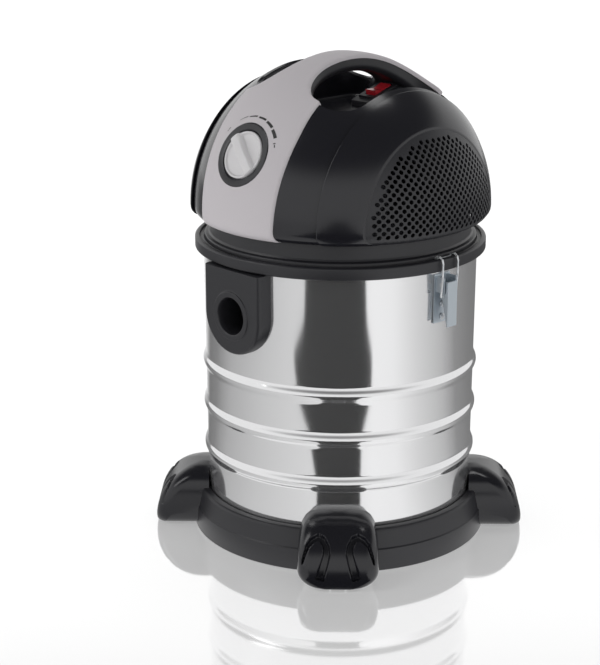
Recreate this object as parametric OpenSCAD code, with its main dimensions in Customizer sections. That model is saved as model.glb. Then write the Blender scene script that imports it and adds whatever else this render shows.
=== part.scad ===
// Shop vacuum: steel drum on a caster base, with a lift-off motor head.
// Millimetres, +Z up, origin on the floor under the drum's axis.
// The front, with the speed dial and the hose inlet, faces -Y.

/* [Drum] */
// Outer radius of the drum at its rim
drum_r = 150; // [149.5:0.1:150]
// Outer radius of the drum at its foot
drum_foot_r = 147.7; // [147:0.1:148.5]
// Height of the drum's floor above the ground
drum_floor_z = 22; // [22:0.1:24]
// Height of the drum's rim above the ground
drum_rim_z = 321.4; // [321:0.1:321.4]
// Thickness of the drum's sheet
drum_wall = 1; // [0.8:0.1:1.2]
// How far each rolled bead stands out
bead_h = 4; // [3:0.5:5]

/* [Inlet port] */
// Height of the port's axis above the ground
port_z = 271.5; // [270:0.5:273]
// Radius of the hose bore
port_bore_r = 20; // [19:0.5:20.5]
// Half of the boss's width
port_half_w = 42.5; // [40:0.5:44]
// Distance from the drum's axis to the boss's front face
port_face = 161.5; // [160:0.5:164]

/* [Base] */
// Outer radius of the base ring at the ground
base_r = 164.6; // [164:0.1:165.5]
// Height of the base ring
base_top_z = 47.4; // [46:0.2:48]
// Distance from the drum's axis to a foot's outer face
foot_reach = 206.8; // [205:0.2:209]
// Half of a foot's width
foot_half_w = 43; // [42:0.5:44]
// Height of a foot where it meets the drum
foot_h = 74.3; // [74:0.1:75]
// Distance from the drum's axis to a caster's swivel axis
caster_at = 174; // [173.5:0.1:174.5]
// Radius of a caster wheel
wheel_r = 14; // [13.5:0.1:14]
// Distance from a caster's swivel axis to its wheel's axle
trail = 9; // [8:0.5:9.5]

/* [Head] */
// Height of the dome's centre above the ground
dome_z = 370; // [370:1:371]
// Outer radius of the dome's core
core_r = 160.5; // [160:0.1:160.5]
// Outer radius of the silver band and handle
band_r = 163; // [162.6:0.1:163.4]
// Outer radius of the side covers
wing_r = 164; // [163.8:0.1:164.4]
// Radius of the round edge that tucks under the dome
tuck_r = 13; // [12:0.5:14]
// Half of the handle's width at its narrowest
handle_half_w = 18; // [17:0.5:20]
// Elevation of the dial's axis, in degrees
dial_tilt = 26.5; // [25:0.5:28]

/* [Hidden] */

$fn = 96;
far = 400;                       // longer than the whole machine

bead_zs = [95.6, 145.2, 194.7];  // bead crests, low to high
bead_half = 8;                   // half of a bead's height

ring_z = 322.2;                  // underside of the head's ring
ring_r = 159.5;
groove_r = 151.6;                // where the latch wires hook in
deck_z = 322.5;                  // underside of the motor deck
deck_t = 4.5;
inlet_r = 16;                    // air hole that the float closes
neck_r = 141.5;
neck_top_z = 356.7;
skirt_z = 304;                   // lowest point of the locating skirt

ledge_z = 21.9;                  // the drum stands on this ledge
ledge_t = 4.4;
ledge_inner_r = 118;
caster_well_r = 28.5;
caster_well_top = 36;
boss_z = 34;                     // underside of a caster's boss
stem_r = 4;
run = 0.05;                      // running clearance on a radius
screw_off = 35;                  // base screws, either side of a foot
screw_z = 10;

shell_t = 3;
recess_front = -84;              // the hand recess, along Y
recess_rear = 100;
recess_right = 85;
recess_left = -64;
recess_floor = 470;
recess_corner = 33;
flare_front = -21;               // the handle starts to widen here
flare_rear = 40;
flare_w = 37.4;                  // how much it widens
flare_pow = 2.6;                 // sharpness of the flare's curve
side_x = 96;                     // inner edge of a side cover
grille_x = 132;                  // inner edge of a vent grille
hole_r = 3.6;
hole_step_y = 16.8;
hole_step_z = 8.5;

band_edge = [[53.5, 350], [57, 440], [57.5, 465], [55.4, 494], [55.4, 560]];

grip_r = 141.5;                  // inner radius of the handle's arch
bezel_r = 35;
knob_r = 25.6;
switch_y = 58;
switch_z = 486;
switch_tilt = 18;
gland_z = 388;

pivot_x = 159;                   // latch lever's pin
pivot_z = 308;
hook_x = 160.5;                  // wire's eye on the lever
hook_z = 296;
leg_y = 11.5;                     // wire legs, either side of the lever
wire_r = 1.1;

corner_deg = [-45, 45, 135, 225];

// A foot's outline from the side and from the front: how far in, and how high
foot_side = [
    [0, 13], [2.2, 24], [6, 36], [11.8, 48], [19.3, 55],
    [25.8, 60], [34, 65.6], [42.8, 70.2], [52.3, 73.4]
];
foot_front = [
    [0, 40], [0.8, 49.5], [3.2, 54], [6.5, 58], [12.5, 62], [19, 66], [26, 70], [34, 73], [42, 74.2]
];

// ---------- helpers ----------

function arc_oval(cx, cy, rx, ry, a0, a1, n) =
    [for (i = [0 : n]) [cx + rx * cos(a0 + (a1 - a0) * i / n), cy + ry * sin(a0 + (a1 - a0) * i / n)]];
function arc(cx, cy, r, a0, a1, n) = arc_oval(cx, cy, r, r, a0, a1, n);
function reversed(p) = [for (i = [len(p) - 1 : -1 : 0]) p[i]];
function mirrored(p) = [for (q = reversed(p)) [-q[0], q[1]]];

// Solid dome: a hemisphere on a rounded edge
module dome_solid(r, tuck) {
    translate([0, 0, dome_z]) rotate_extrude() {
        intersection() {
            circle(r = r, $fn = 192);
            square(r + 1);
        }
        translate([0, -tuck]) square([r - tuck, tuck]);
        translate([r - tuck, 0]) intersection() {
            circle(r = tuck, $fn = 64);
            translate([0, -tuck]) square(tuck);
        }
    }
}

// Shell between two domes, open underneath; inner_tuck is the inner one's round edge
module dome_skin(outer, inner, inner_tuck) {
    difference() {
        dome_solid(outer, tuck_r);
        dome_solid(inner, inner_tuck);
        translate([0, 0, dome_z - 20]) cylinder(r = inner - tuck_r - 3, h = 20);
    }
}

// Layer that lies on another dome: its inner face has the same round edge
module dome_layer(outer, inner) {
    difference() {
        dome_skin(outer, inner, tuck_r);
        translate([0, 0, dome_z - 20]) cylinder(r = inner - tuck_r, h = 20);
    }
}

// Half space beyond a plane across X, on one side
module beyond_x(x, side) {
    translate([side > 0 ? x : -x - far, -far / 2, 0]) cube([far, far, 2 * far]);
}

module at_corner(i) {
    rotate([0, 0, corner_deg[i]]) children();
}

module at_dial() {
    translate([0, 0, dome_z]) rotate([90 - dial_tilt, 0, 0]) children();
}

module at_switch() {
    translate([0, switch_y, switch_z]) rotate([switch_tilt, 0, 0]) children();
}

module on_side(side) {
    mirror([side < 0 ? 1 : 0, 0, 0]) children();
}

// Cylinder along Y from y0 to y1
module rod_y(x, z, r, y0, y1) {
    translate([x, y1, z]) rotate([90, 0, 0]) cylinder(r = r, h = y1 - y0);
}

// Straight round rod between two points of the XZ plane at one y
module rod_xz(p, q, y, r) {
    run_x = q[0] - p[0];
    run_z = q[1] - p[1];
    translate([p[0], y, p[1]]) rotate([0, atan2(run_x, run_z), 0])
        cylinder(r = r, h = norm([run_x, run_z]), $fn = 32);
}

// ---------- drum ----------

function wall_r(z) =
    drum_foot_r + (drum_r - drum_foot_r) * (z - drum_floor_z) / (drum_rim_z - drum_floor_z);
function bead_path() = [
    for (zc = bead_zs) for (i = [-6 : 6])
        let (z = zc + bead_half * i / 6) [wall_r(z) + bead_h * cos(90 * i / 6), z]
];
function inset_r(p, d) = [for (q = p) [q[0] - d, q[1]]];

module drum() {
    wall = concat([[drum_foot_r, drum_floor_z + 4]], bead_path(), [[drum_r, drum_rim_z]]);
    color("silver") difference() {
        rotate_extrude() polygon(concat(
            [[0, drum_floor_z], [drum_foot_r - 4, drum_floor_z]],
            wall,
            reversed(inset_r(wall, drum_wall)),
            [[drum_foot_r - 5, drum_floor_z + drum_wall], [0, drum_floor_z + drum_wall]]));
        rod_y(0, port_z, 24.6, -far / 2, 0);
        latch_rivet_shanks(2.1);
    }
}

module port_outline() {
    circle(r = port_half_w);
    translate([-port_half_w, 0]) square([2 * port_half_w, drum_rim_z - port_z]);
}

module inlet_port() {
    color("#1b1b1d") difference() {
        union() {
            difference() {
                translate([0, -120, port_z]) rotate([90, 0, 0])
                    linear_extrude(port_face - 120) port_outline();
                translate([0, 0, port_z - 80]) cylinder(r = drum_r + 0.1, h = 160);
                intersection() {
                    translate([0, 0, port_z - 80]) cylinder(r = drum_r + 1.3, h = 160);
                    rod_y(0, port_z, 36, -far / 2, 0);
                }
            }
            rod_y(0, port_z, 23.6, -port_face, -132);
            rod_y(0, port_z, 26.5, -port_face - 1.5, -port_face + 1);
        }
        rod_y(0, port_z, port_bore_r, -far / 2, 0);
    }
}

module inlet_gasket() {
    color("#2a2a2c") difference() {
        intersection() {
            difference() {
                translate([0, 0, port_z - 60]) cylinder(r = drum_r + 1.2, h = 120);
                translate([0, 0, port_z - 60]) cylinder(r = drum_r + 0.1, h = 120);
            }
            rod_y(0, port_z, 35.8, -far / 2, 0);
        }
        rod_y(0, port_z, 23.8, -far / 2, 0);
    }
}

// Hood that turns the incoming air sideways inside the drum
module inlet_deflector() {
    color("#232325") difference() {
        union() {
            rod_y(0, port_z, 29, -144.6, -134);
            intersection() {
                translate([0, -134, port_z]) sphere(r = 29);
                translate([-30, -134, port_z - 30]) cube([60, 30, 60]);
            }
        }
        rod_y(0, port_z, 23.7, -far / 2, -131.9);
        translate([0, -131.9, port_z]) sphere(r = 23.7);
        translate([9, -130, port_z - 40]) cube([40, 60, 80]);
    }
}

// ---------- base ----------

function base_outer() = [
    [base_r, 2], [base_r - 1, 26], [base_r - 2, 26.6],
    [158.6, base_top_z - 3.4], [157.6, base_top_z - 1], [156, base_top_z]
];

module base_ring() {
    color("#18181a") difference() {
        rotate_extrude() polygon(concat(
            base_outer(),
            [
                [149.2, base_top_z], [149.2, ledge_z], [ledge_inner_r, ledge_z],
                [ledge_inner_r, ledge_z - ledge_t], [base_r - 4, ledge_z - ledge_t], [base_r - 3.6, 2]
            ]));
        for (i = [0 : 3]) at_corner(i) {
            translate([caster_at, 0, -1]) cylinder(r = caster_well_r, h = caster_well_top + 1);
            base_screw_shafts(2.2);
        }
    }
}

module base_envelope() {
    rotate_extrude() polygon(concat(
        [[0, -5], [base_r + 0.2, -5]],
        [for (p = base_outer()) [p[0] + 0.2, p[1] + 0.2]],
        [[0, base_top_z + 0.2]]));
}

module base_screw_shafts(r) {
    for (s = [-1, 1]) translate([150, s * screw_off, screw_z]) rotate([0, 90, 0])
        cylinder(r = r, h = 22);
}

// Outer form of a foot, drawn along +X, shrunk by d on every side
module foot_form(d) {
    low = d > 0 ? -10 : 2;
    side_profile = concat(
        [[110, low], [foot_reach, low]],
        [for (p = foot_side) [foot_reach - p[0], p[1]]],
        [[146, foot_h], [110, foot_h]]);
    low_corner = d > 0 ? [[foot_half_w, low]] : arc(foot_half_w - 16, 18, 16, -90, 0, 6);
    half_front = concat(low_corner, [for (p = foot_front) [foot_half_w - p[0], p[1]]]);
    plan_corner = arc(foot_reach - 16, foot_half_w - 16, 16, 0, 90, 6);
    intersection() {
        translate([0, far / 2, 0]) rotate([90, 0, 0])
            linear_extrude(far) offset(delta = -d) polygon(side_profile);
        translate([110, 0, 0]) rotate([90, 0, 90])
            linear_extrude(120) offset(delta = -d) polygon(concat(half_front, mirrored(half_front)));
        translate([0, 0, low]) linear_extrude(foot_h + 20) offset(delta = -d) polygon(concat(
            [[110, -foot_half_w], [foot_reach - 16, -foot_half_w]],
            [for (p = reversed(plan_corner)) [p[0], -p[1]]],
            plan_corner,
            [[110, foot_half_w]]));
    }
}

module foot_cover(i) {
    color("#0e0e10") at_corner(i) difference() {
        union() {
            difference() {
                foot_form(0);
                foot_form(2.6);
            }
            intersection() {
                foot_form(0.5);
                union() {
                    translate([caster_at, 0, boss_z]) cylinder(r = 8, h = 50);
                    for (s = [-1, 1]) translate([158, s * 36 - 4.8, 4]) cube([18, 9.6, 12]);
                }
            }
        }
        translate([caster_at, 0, boss_z - 1]) cylinder(r = stem_r + run, h = 27);
        base_screw_shafts(1.55);
        base_envelope();
        cylinder(r = wall_r(foot_h) + 0.5, h = far);
    }
}

module base_screws() {
    color("#8d8f92") for (i = [0 : 3]) at_corner(i) {
        base_screw_shafts(1.5);
        for (s = [-1, 1]) translate([148.6, s * screw_off, screw_z]) rotate([0, 90, 0])
            cylinder(r = 3.2, h = 3);
    }
}

// ---------- casters ----------

module caster_fork(i) {
    cheek = [[-11, 33.5], [9, 33.5], [2, 21], [-4, 10.5], [-9, 8.5], [-13.5, 11.5], [-14.5, 20]];
    color("#9b9ea2") at_corner(i) translate([caster_at, 0, 0]) difference() {
        union() {
            translate([-1, 0, 31]) cylinder(r = 12, h = 2.5);
            translate([0, 0, 33]) cylinder(r = stem_r, h = 26);
            for (s = [-1, 1]) translate([0, s * 8.2 + 1, 0]) rotate([90, 0, 0])
                linear_extrude(2) polygon(cheek);
        }
        rod_y(-trail, wheel_r, 2.05, -20, 20);
    }
}

module caster_axle(i) {
    color("#c4c6c9") at_corner(i) translate([caster_at, 0, 0]) {
        rod_y(-trail, wheel_r, 2, -10.6, 10.6);
        for (s = [-1, 1]) rod_y(-trail, wheel_r, 3.4, s * 10.1 - 0.8, s * 10.1 + 0.8);
    }
}

module caster_wheel(i) {
    color("#3a3a3c") at_corner(i) translate([caster_at - trail, 0, wheel_r]) rotate([90, 0, 0])
        rotate_extrude() polygon([
            [2.08, -6.6], [5, -6.6], [5.6, -5], [11, -5], [12.2, -6], [13.4, -5.4], [wheel_r, -3.6],
            [wheel_r, 3.6], [13.4, 5.4], [12.2, 6], [11, 5], [5.6, 5], [5, 6.6], [2.08, 6.6]
        ]);
}

// ---------- latches ----------

module latch_rivet_shanks(r) {
    for (side = [-1, 1]) on_side(side) for (z = [271, 285])
        translate([146, 0, z]) rotate([0, 90, 0]) cylinder(r = r, h = 8);
}

module latch_base(side) {
    color("#aab4bd") on_side(side) difference() {
        union() {
            intersection() {
                difference() {
                    cylinder(r = drum_r + 1.5, h = 330);
                    cylinder(r = drum_r + 0.2, h = far);
                }
                translate([140, -12, 265]) cube([20, 24, 53]);
            }
            for (s = [-1, 1]) translate([drum_r + 0.6, s * 8.8 - 0.6, 299]) cube([12, 1.2, 17]);
        }
        rod_y(pivot_x, pivot_z, 1.55, -20, 20);
        latch_rivet_shanks(2.1);
    }
}

module latch_rivets() {
    color("#c9ccd0") {
        latch_rivet_shanks(2.05);
        for (side = [-1, 1]) on_side(side) for (z = [271, 285]) {
            translate([drum_r + 1.6, 0, z]) rotate([0, 90, 0]) cylinder(r = 3.6, h = 1.5);
            translate([drum_r - 2.9, 0, z]) rotate([0, 90, 0]) cylinder(r = 3.6, h = 1.2);
        }
    }
}

module latch_pin(side) {
    color("#b9bdc2") on_side(side) {
        rod_y(pivot_x, pivot_z, 1.5, -10.1, 10.1);
        for (s = [-1, 1]) rod_y(pivot_x, pivot_z, 2.5, s * 9.75 - 0.35, s * 9.75 + 0.35);
    }
}

module latch_lever(side) {
    flange = [[154.5, 303], [157, 311.5], [166, 311.5], [166, 268], [163.5, 268], [158.6, 291.5]];
    color("#a9bccb") on_side(side) difference() {
        union() {
            translate([164.6, -7.2, 263]) cube([1.4, 14.4, 48.5]);
            for (s = [-1, 1]) translate([0, s * 6.6 + 0.6, 0]) rotate([90, 0, 0])
                linear_extrude(1.2) polygon(flange);
        }
        rod_y(pivot_x, pivot_z, 1.57, -20, 20);
        rod_y(hook_x, hook_z, wire_r + 0.1, -20, 20);
    }
}

module latch_wire(side) {
    over_lip = [
        [hook_x, hook_z], [162.2, 318], [162.2, 331.5], [161, 335.6], [157.6, 338],
        [154.2, 338], [152.2, 336.6], [groove_r, 334.3]
    ];
    last = len(over_lip) - 1;
    color("#d5d8dc") on_side(side) {
        for (s = [-1, 1]) {
            for (k = [0 : last - 1]) rod_xz(over_lip[k], over_lip[k + 1], s * leg_y, wire_r);
            for (p = over_lip) translate([p[0], s * leg_y, p[1]]) sphere(r = wire_r + 0.08, $fn = 32);
            rod_y(hook_x, hook_z, wire_r, s > 0 ? 5.6 : -leg_y, s > 0 ? leg_y : -5.6);
        }
        rod_y(groove_r, over_lip[last][1], wire_r, -leg_y, leg_y);
    }
}

// ---------- head ----------

module head_flange() {
    color("#161618") difference() {
        rotate_extrude() polygon([
            [inlet_r, deck_z], [143, deck_z], [143, skirt_z], [146, skirt_z], [146, ring_z], [147.2, ring_z],
            [147.2, 324.8], [151.8, 324.8], [151.8, ring_z], [157.5, ring_z], [158.9, 322.8],
            [ring_r, 324.2], [ring_r, 333.4], [158.9, 335], [157.5, 335.8], [155, 335.8], [154, 334.8],
            [154, 332.6], [149.4, 332.6], [149, 337.5], [148, 338.6], [145.4, 338.6], [144.2, 338],
            [143.4, 341], [neck_r, neck_top_z], [neck_r - 3, neck_top_z],
            [neck_r - 3, deck_z + deck_t], [inlet_r, deck_z + deck_t]
        ]);
        head_screw_shafts(2.05);
    }
}

module head_seal() {
    color("#3b3b3e") rotate_extrude() polygon([
        [147.4, ring_z], [147.9, 321.75], [151.1, 321.75], [151.6, ring_z], [151.6, 324.6], [147.4, 324.6]
    ]);
}

// Rounded plan of the hand recess
module recess_plan(grow) {
    c = recess_corner + grow;
    x0 = recess_left - grow;
    x1 = recess_right + grow;
    y0 = recess_front - grow;
    y1 = recess_rear + grow;
    corners = concat(
        arc(x1 - c, y1 - c, c, 0, 90, 10), arc(x0 + c, y1 - c, c, 90, 180, 10),
        arc(x0 + c, y0 + c, c, 180, 270, 10), arc(x1 - c, y0 + c, c, 270, 360, 10));
    polygon(corners);
}

module switch_pod() {
    intersection() {
        translate([-17, switch_y - 26, recess_floor - 3]) cube([34, 60, 60]);
        translate([0, 0, dome_z]) rotate([0, 90, 0]) cylinder(r = grip_r - 0.3, h = far, center = true);
        at_switch() translate([-60, -60, -62]) cube([120, 120, 60]);
    }
}

module dome_shell() {
    color("#0c0c0e") difference() {
        union() {
            dome_skin(core_r, core_r - shell_t, tuck_r - shell_t);
            difference() {
                intersection() {
                    dome_solid(core_r - 1, tuck_r);
                    translate([0, 0, recess_floor - shell_t]) linear_extrude(100) recess_plan(shell_t);
                }
                translate([0, 0, recess_floor]) linear_extrude(100) recess_plan(0);
            }
            switch_pod();
        }
        difference() {
            translate([0, 0, recess_floor]) linear_extrude(100) recess_plan(0);
            switch_pod();
        }
        at_switch() translate([-11.3, -17.3, -24]) cube([22.6, 34.6, 60]);
        for (side = [-1, 1]) beyond_x(side_x + 4, side);
        at_dial() cylinder(r = bezel_r + 0.2, h = far);
        rod_y(0, gland_z, 7.1, 100, far);
    }
}

module side_cover(side) {
    color("#0e0e11") difference() {
        intersection() {
            dome_layer(wing_r, core_r + 0.4);
            beyond_x(side_x, side);
        }
        beyond_x(grille_x, side);
    }
}

module vent_grille(side) {
    rows = 10;
    columns = 5;
    color("#121215") difference() {
        intersection() {
            dome_skin(wing_r - 0.8, core_r - 0.2, tuck_r - shell_t);
            beyond_x(grille_x + 0.2, side);
        }
        for (row = [0 : rows]) for (col = [-columns : columns]) {
            y = (col + (row % 2) / 2) * hole_step_y;
            z = 4 + row * hole_step_z;
            if (norm([y, z]) < 85) translate([0, y, dome_z + z]) rotate([0, side * 90, 0])
                cylinder(r = hole_r, h = far);
        }
    }
}

function flare(t) = handle_half_w + flare_w * (1 - pow(1 - pow(min(t, 1), flare_pow), 1 / flare_pow));
function handle_edge() = concat(
    [for (i = [12 : -1 : 0]) [flare(i / 12), flare_front + (recess_front - flare_front) * i / 12]],
    [for (i = [0 : 11]) [flare(i / 12), flare_rear + (recess_rear - flare_rear) * i / 12]]);

module silver_band() {
    color("#c9c5c9") difference() {
        intersection() {
            dome_layer(band_r, core_r + 0.1);
            union() {
                translate([0, recess_front, 0]) rotate([90, 0, 0]) linear_extrude(far)
                    polygon(concat(band_edge, mirrored(band_edge)));
                translate([0, 0, dome_z]) linear_extrude(far)
                    polygon(concat(handle_edge(), mirrored(handle_edge())));
            }
        }
        at_dial() cylinder(r = bezel_r + 0.2, h = far);
    }
}

module handle_grip() {
    half = handle_half_w - 1.5;
    color("#101012") difference() {
        intersection() {
            dome_solid(core_r - 0.1, tuck_r);
            translate([-half, recess_front + 0.1, 480])
                cube([2 * half, recess_rear - recess_front - 0.2, 60]);
        }
        translate([0, 0, dome_z]) rotate([0, 90, 0]) cylinder(r = grip_r, h = far, center = true);
        at_switch() translate([-13.4, -19.4, -30]) cube([26.8, 38.8, 31]);
    }
}

// ---------- controls ----------

module dial_bezel() {
    color("#1c1c1f") at_dial() difference() {
        translate([0, 0, 150]) cylinder(r = bezel_r, h = 9.9);
        translate([0, 0, 152]) cylinder(r = knob_r + 0.5, h = 20);
        cylinder(r = 3 + run, h = far);
    }
}

module speed_dial() {
    color("#d4d2d4") at_dial() {
        translate([0, 0, 136]) cylinder(r = 3, h = 17);
        translate([0, 0, 152.4]) cylinder(r = knob_r, h = 8);
        intersection() {
            translate([0, 0, 157]) cylinder(r = knob_r, h = 8.6);
            rotate([0, 0, 45]) translate([-4.5, -knob_r, 157]) cube([9, 2 * knob_r, 8.6]);
        }
    }
}

module speed_control() {
    color("#3f6b4a") at_dial() difference() {
        union() {
            translate([-17, -15, 130]) cube([34, 30, 3]);
            translate([0, 0, 132]) cylinder(r = 11, h = 9);
            translate([0, 0, 140]) cylinder(r = 5, h = 9.9);
        }
        translate([0, 0, 135.6]) cylinder(r = 3 + run, h = 40);
    }
}

module switch_housing() {
    color("#232326") at_switch() difference() {
        union() {
            translate([-13, -19, -2]) cube([26, 38, 2.4]);
            translate([-11, -17, -20]) cube([22, 34, 20]);
        }
        translate([-7.9, -14.8, -18]) cube([15.8, 29.6, 40]);
        translate([0, 0, -6]) rotate([0, 90, 0]) cylinder(r = 1.55, h = 24, center = true);
    }
}

module power_rocker() {
    side_view = [[-12, -8], [12, -8], [12.2, 1.7], [0, 0.6], [-12.2, 4.8]];
    color("#b3141a") at_switch() union() {
        translate([-7.5, 0, 0]) rotate([90, 0, 90]) linear_extrude(15) polygon(side_view);
        translate([0, 0, -6]) rotate([0, 90, 0]) cylinder(r = 1.5, h = 21, center = true);
    }
}

module cord_gland() {
    color("#19191b") difference() {
        union() {
            rod_y(0, gland_z, 9, 160.4, 163.5);
            rod_y(0, gland_z, 7, 149, 161);
            rod_y(0, gland_z, 9, 149, 151.5);
        }
        rod_y(0, gland_z, 4, 100, far);
    }
}

// ---------- motor and filter ----------

module head_screw_shafts(r) {
    for (a = [0 : 90 : 270]) rotate([0, 0, a]) translate([78, 0, deck_z + 0.4])
        cylinder(r = r, h = 9);
}

module fan_housing() {
    base = deck_z + deck_t + 0.1;
    color("#5a5c60") difference() {
        union() {
            translate([0, 0, base]) cylinder(r = 84, h = 3);
            translate([0, 0, base]) cylinder(r = 71, h = 26);
        }
        translate([0, 0, base + 3]) cylinder(r = 68, h = 20);
        translate([0, 0, base - 1]) cylinder(r = 24, h = 10);
        translate([0, 0, base]) cylinder(r = 9, h = 40);
        for (a = [0 : 45 : 315]) rotate([0, 0, a]) translate([60, -9, base + 8]) cube([20, 18, 9]);
        head_screw_shafts(2.2);
    }
}

module head_screws() {
    color("#9a9da1") {
        head_screw_shafts(2);
        for (a = [0 : 90 : 270]) rotate([0, 0, a]) translate([78, 0, 330.2]) cylinder(r = 4, h = 3);
    }
}

module motor_housing() {
    color("#44464b") difference() {
        translate([0, 0, 353.2]) cylinder(r = 52, h = 84);
        translate([0, 0, 356.2]) cylinder(r = 49, h = 78);
        translate([0, 0, 350]) cylinder(r = 4 + run, h = 100);
        for (a = [0 : 60 : 300]) rotate([0, 0, a]) translate([40, -8, 420]) cube([20, 16, 9]);
    }
}

module stator() {
    color("#8b5a3a") difference() {
        translate([0, 0, 362]) cylinder(r = 48.9, h = 50);
        translate([0, 0, 360]) cylinder(r = 32, h = 60);
    }
}

module motor_shaft() {
    color("#c9ccd0") translate([0, 0, 331.4]) cylinder(r = 4, h = 104);
}

module armature() {
    color("#a8703f") difference() {
        union() {
            translate([0, 0, 361]) cylinder(r = 30.5, h = 52);
            translate([0, 0, 413]) cylinder(r = 13, h = 16);
        }
        translate([0, 0, 350]) cylinder(r = 4.02, h = 100);
    }
}

module impeller() {
    color("#b8bbbf") difference() {
        union() {
            translate([0, 0, 334]) cylinder(r = 7.5, h = 13);
            difference() {
                translate([0, 0, 334]) cylinder(r = 62, h = 1.4);
                translate([0, 0, 333]) cylinder(r = 22, h = 4);
            }
            translate([0, 0, 345.6]) cylinder(r = 62, h = 1.4);
            for (a = [0 : 45 : 315]) rotate([0, 0, a]) translate([6, -0.8, 335]) cube([54, 1.6, 11]);
        }
        translate([0, 0, 330]) cylinder(r = 4.02, h = 30);
    }
}

module float_cage() {
    color("#2a2a2d") difference() {
        translate([0, 0, 240]) cylinder(r = 33, h = deck_z - 240 - 0.1);
        translate([0, 0, 242]) cylinder(r = 30, h = 100);
        for (a = [0 : 60 : 300]) rotate([0, 0, a]) translate([20, -9, 252]) cube([20, 18, 56]);
        translate([0, 0, 230]) cylinder(r = 12, h = 20);
    }
}

module float_ball() {
    color("#d9d9d6") translate([0, 0, 269.8]) sphere(r = 27.4);
}

module filter_sleeve() {
    color("#e6e2d6") difference() {
        translate([0, 0, 205]) cylinder(r = 76, h = deck_z - 205 - 0.1);
        translate([0, 0, 204]) cylinder(r = 62, h = 200);
    }
}

module filter_cap() {
    color("#222225") difference() {
        translate([0, 0, 200]) cylinder(r = 79, h = 4.9);
        translate([0, 0, 202.5]) cylinder(r = 60, h = 10);
    }
}

// ---------- nodes ----------

drum();
inlet_port();
inlet_gasket();
inlet_deflector();
base_ring();
foot_cover(0);  // foot_cover_front_right
foot_cover(1);  // foot_cover_rear_right
foot_cover(2);  // foot_cover_rear_left
foot_cover(3);  // foot_cover_front_left
base_screws();
latch_base(1);  // latch_base_right
latch_base(-1);  // latch_base_left
latch_rivets();
latch_pin(1);  // latch_pin_right
latch_pin(-1);  // latch_pin_left
caster_fork(0);  // caster_fork_front_right
caster_fork(1);  // caster_fork_rear_right
caster_fork(2);  // caster_fork_rear_left
caster_fork(3);  // caster_fork_front_left
caster_axle(0);  // caster_axle_front_right
caster_axle(1);  // caster_axle_rear_right
caster_axle(2);  // caster_axle_rear_left
caster_axle(3);  // caster_axle_front_left
caster_wheel(0);  // caster_wheel_front_right
caster_wheel(1);  // caster_wheel_rear_right
caster_wheel(2);  // caster_wheel_rear_left
caster_wheel(3);  // caster_wheel_front_left
latch_lever(1);  // latch_lever_right
latch_lever(-1);  // latch_lever_left
latch_wire(1);  // latch_wire_right
latch_wire(-1);  // latch_wire_left
head_flange();
head_seal();
dome_shell();
side_cover(1);  // side_cover_right
side_cover(-1);  // side_cover_left
vent_grille(1);  // vent_grille_right
vent_grille(-1);  // vent_grille_left
silver_band();
handle_grip();
dial_bezel();
speed_dial();
speed_control();
switch_housing();
power_rocker();
cord_gland();
fan_housing();
motor_housing();
stator();
motor_shaft();
armature();
impeller();
float_cage();
float_ball();
filter_sleeve();
filter_cap();
head_screws();
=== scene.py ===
"""Shop vacuum: steel drum on four casters, with a lift-off motor head held by two toggle latches.

Millimetres inside the builders, metres in the finished meshes. +Z is up, the front faces -Y.
"""

import logging
import math
from dataclasses import dataclass
from enum import Enum
from functools import cache
from typing import Callable, Sequence

import bmesh
import bpy
from mathutils import Matrix, Vector


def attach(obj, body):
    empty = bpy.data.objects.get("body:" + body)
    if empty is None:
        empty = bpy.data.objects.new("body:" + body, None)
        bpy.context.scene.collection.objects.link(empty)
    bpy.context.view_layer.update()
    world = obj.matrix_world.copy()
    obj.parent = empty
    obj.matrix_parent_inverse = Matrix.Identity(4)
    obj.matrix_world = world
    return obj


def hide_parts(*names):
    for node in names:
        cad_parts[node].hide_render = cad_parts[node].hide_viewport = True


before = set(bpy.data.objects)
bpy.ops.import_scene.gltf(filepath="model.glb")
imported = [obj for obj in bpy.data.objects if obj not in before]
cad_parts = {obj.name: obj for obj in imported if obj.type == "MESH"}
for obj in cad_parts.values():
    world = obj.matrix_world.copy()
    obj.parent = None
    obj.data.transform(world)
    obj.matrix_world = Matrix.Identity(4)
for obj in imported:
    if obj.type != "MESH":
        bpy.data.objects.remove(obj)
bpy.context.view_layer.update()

log = logging.getLogger("shop_vacuum")

MM = 0.001
DOME_Z = 370.0
TUCK = 13.0
CORNERS = {"front_right": -45.0, "rear_right": 45.0, "rear_left": 135.0, "front_left": 225.0}

Point = tuple[float, float]
Rgb = tuple[float, float, float]
Mesh = bmesh.types.BMesh
Tree = bpy.types.NodeTree


# ---------- shapes ----------


def lerp(a: float, b: float, t: float) -> float:
    """Value a fraction t of the way from a to b."""
    return a + (b - a) * t


def smooth_step(x: float) -> float:
    """Smooth rise from 0 to 1 as x goes from 0 to 1."""
    x = min(1.0, max(0.0, x))
    return x * x * (3 - 2 * x)


def spread(a: float, b: float, count: int) -> list[float]:
    """count + 1 evenly spaced values from a to b."""
    return [lerp(a, b, i / count) for i in range(count + 1)]


def table(rows: Sequence[Point], x: float) -> float:
    """Reads a value from a table of (x, value) rows by straight interpolation.

    Args:
        rows: rows in rising order of x.
        x: where to read.

    Returns:
        The value, held constant beyond both ends.
    """
    if x <= rows[0][0]:
        return rows[0][1]
    for (x0, y0), (x1, y1) in zip(rows, rows[1:]):
        if x <= x1:
            return lerp(y0, y1, (x - x0) / (x1 - x0))
    return rows[-1][1]


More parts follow.
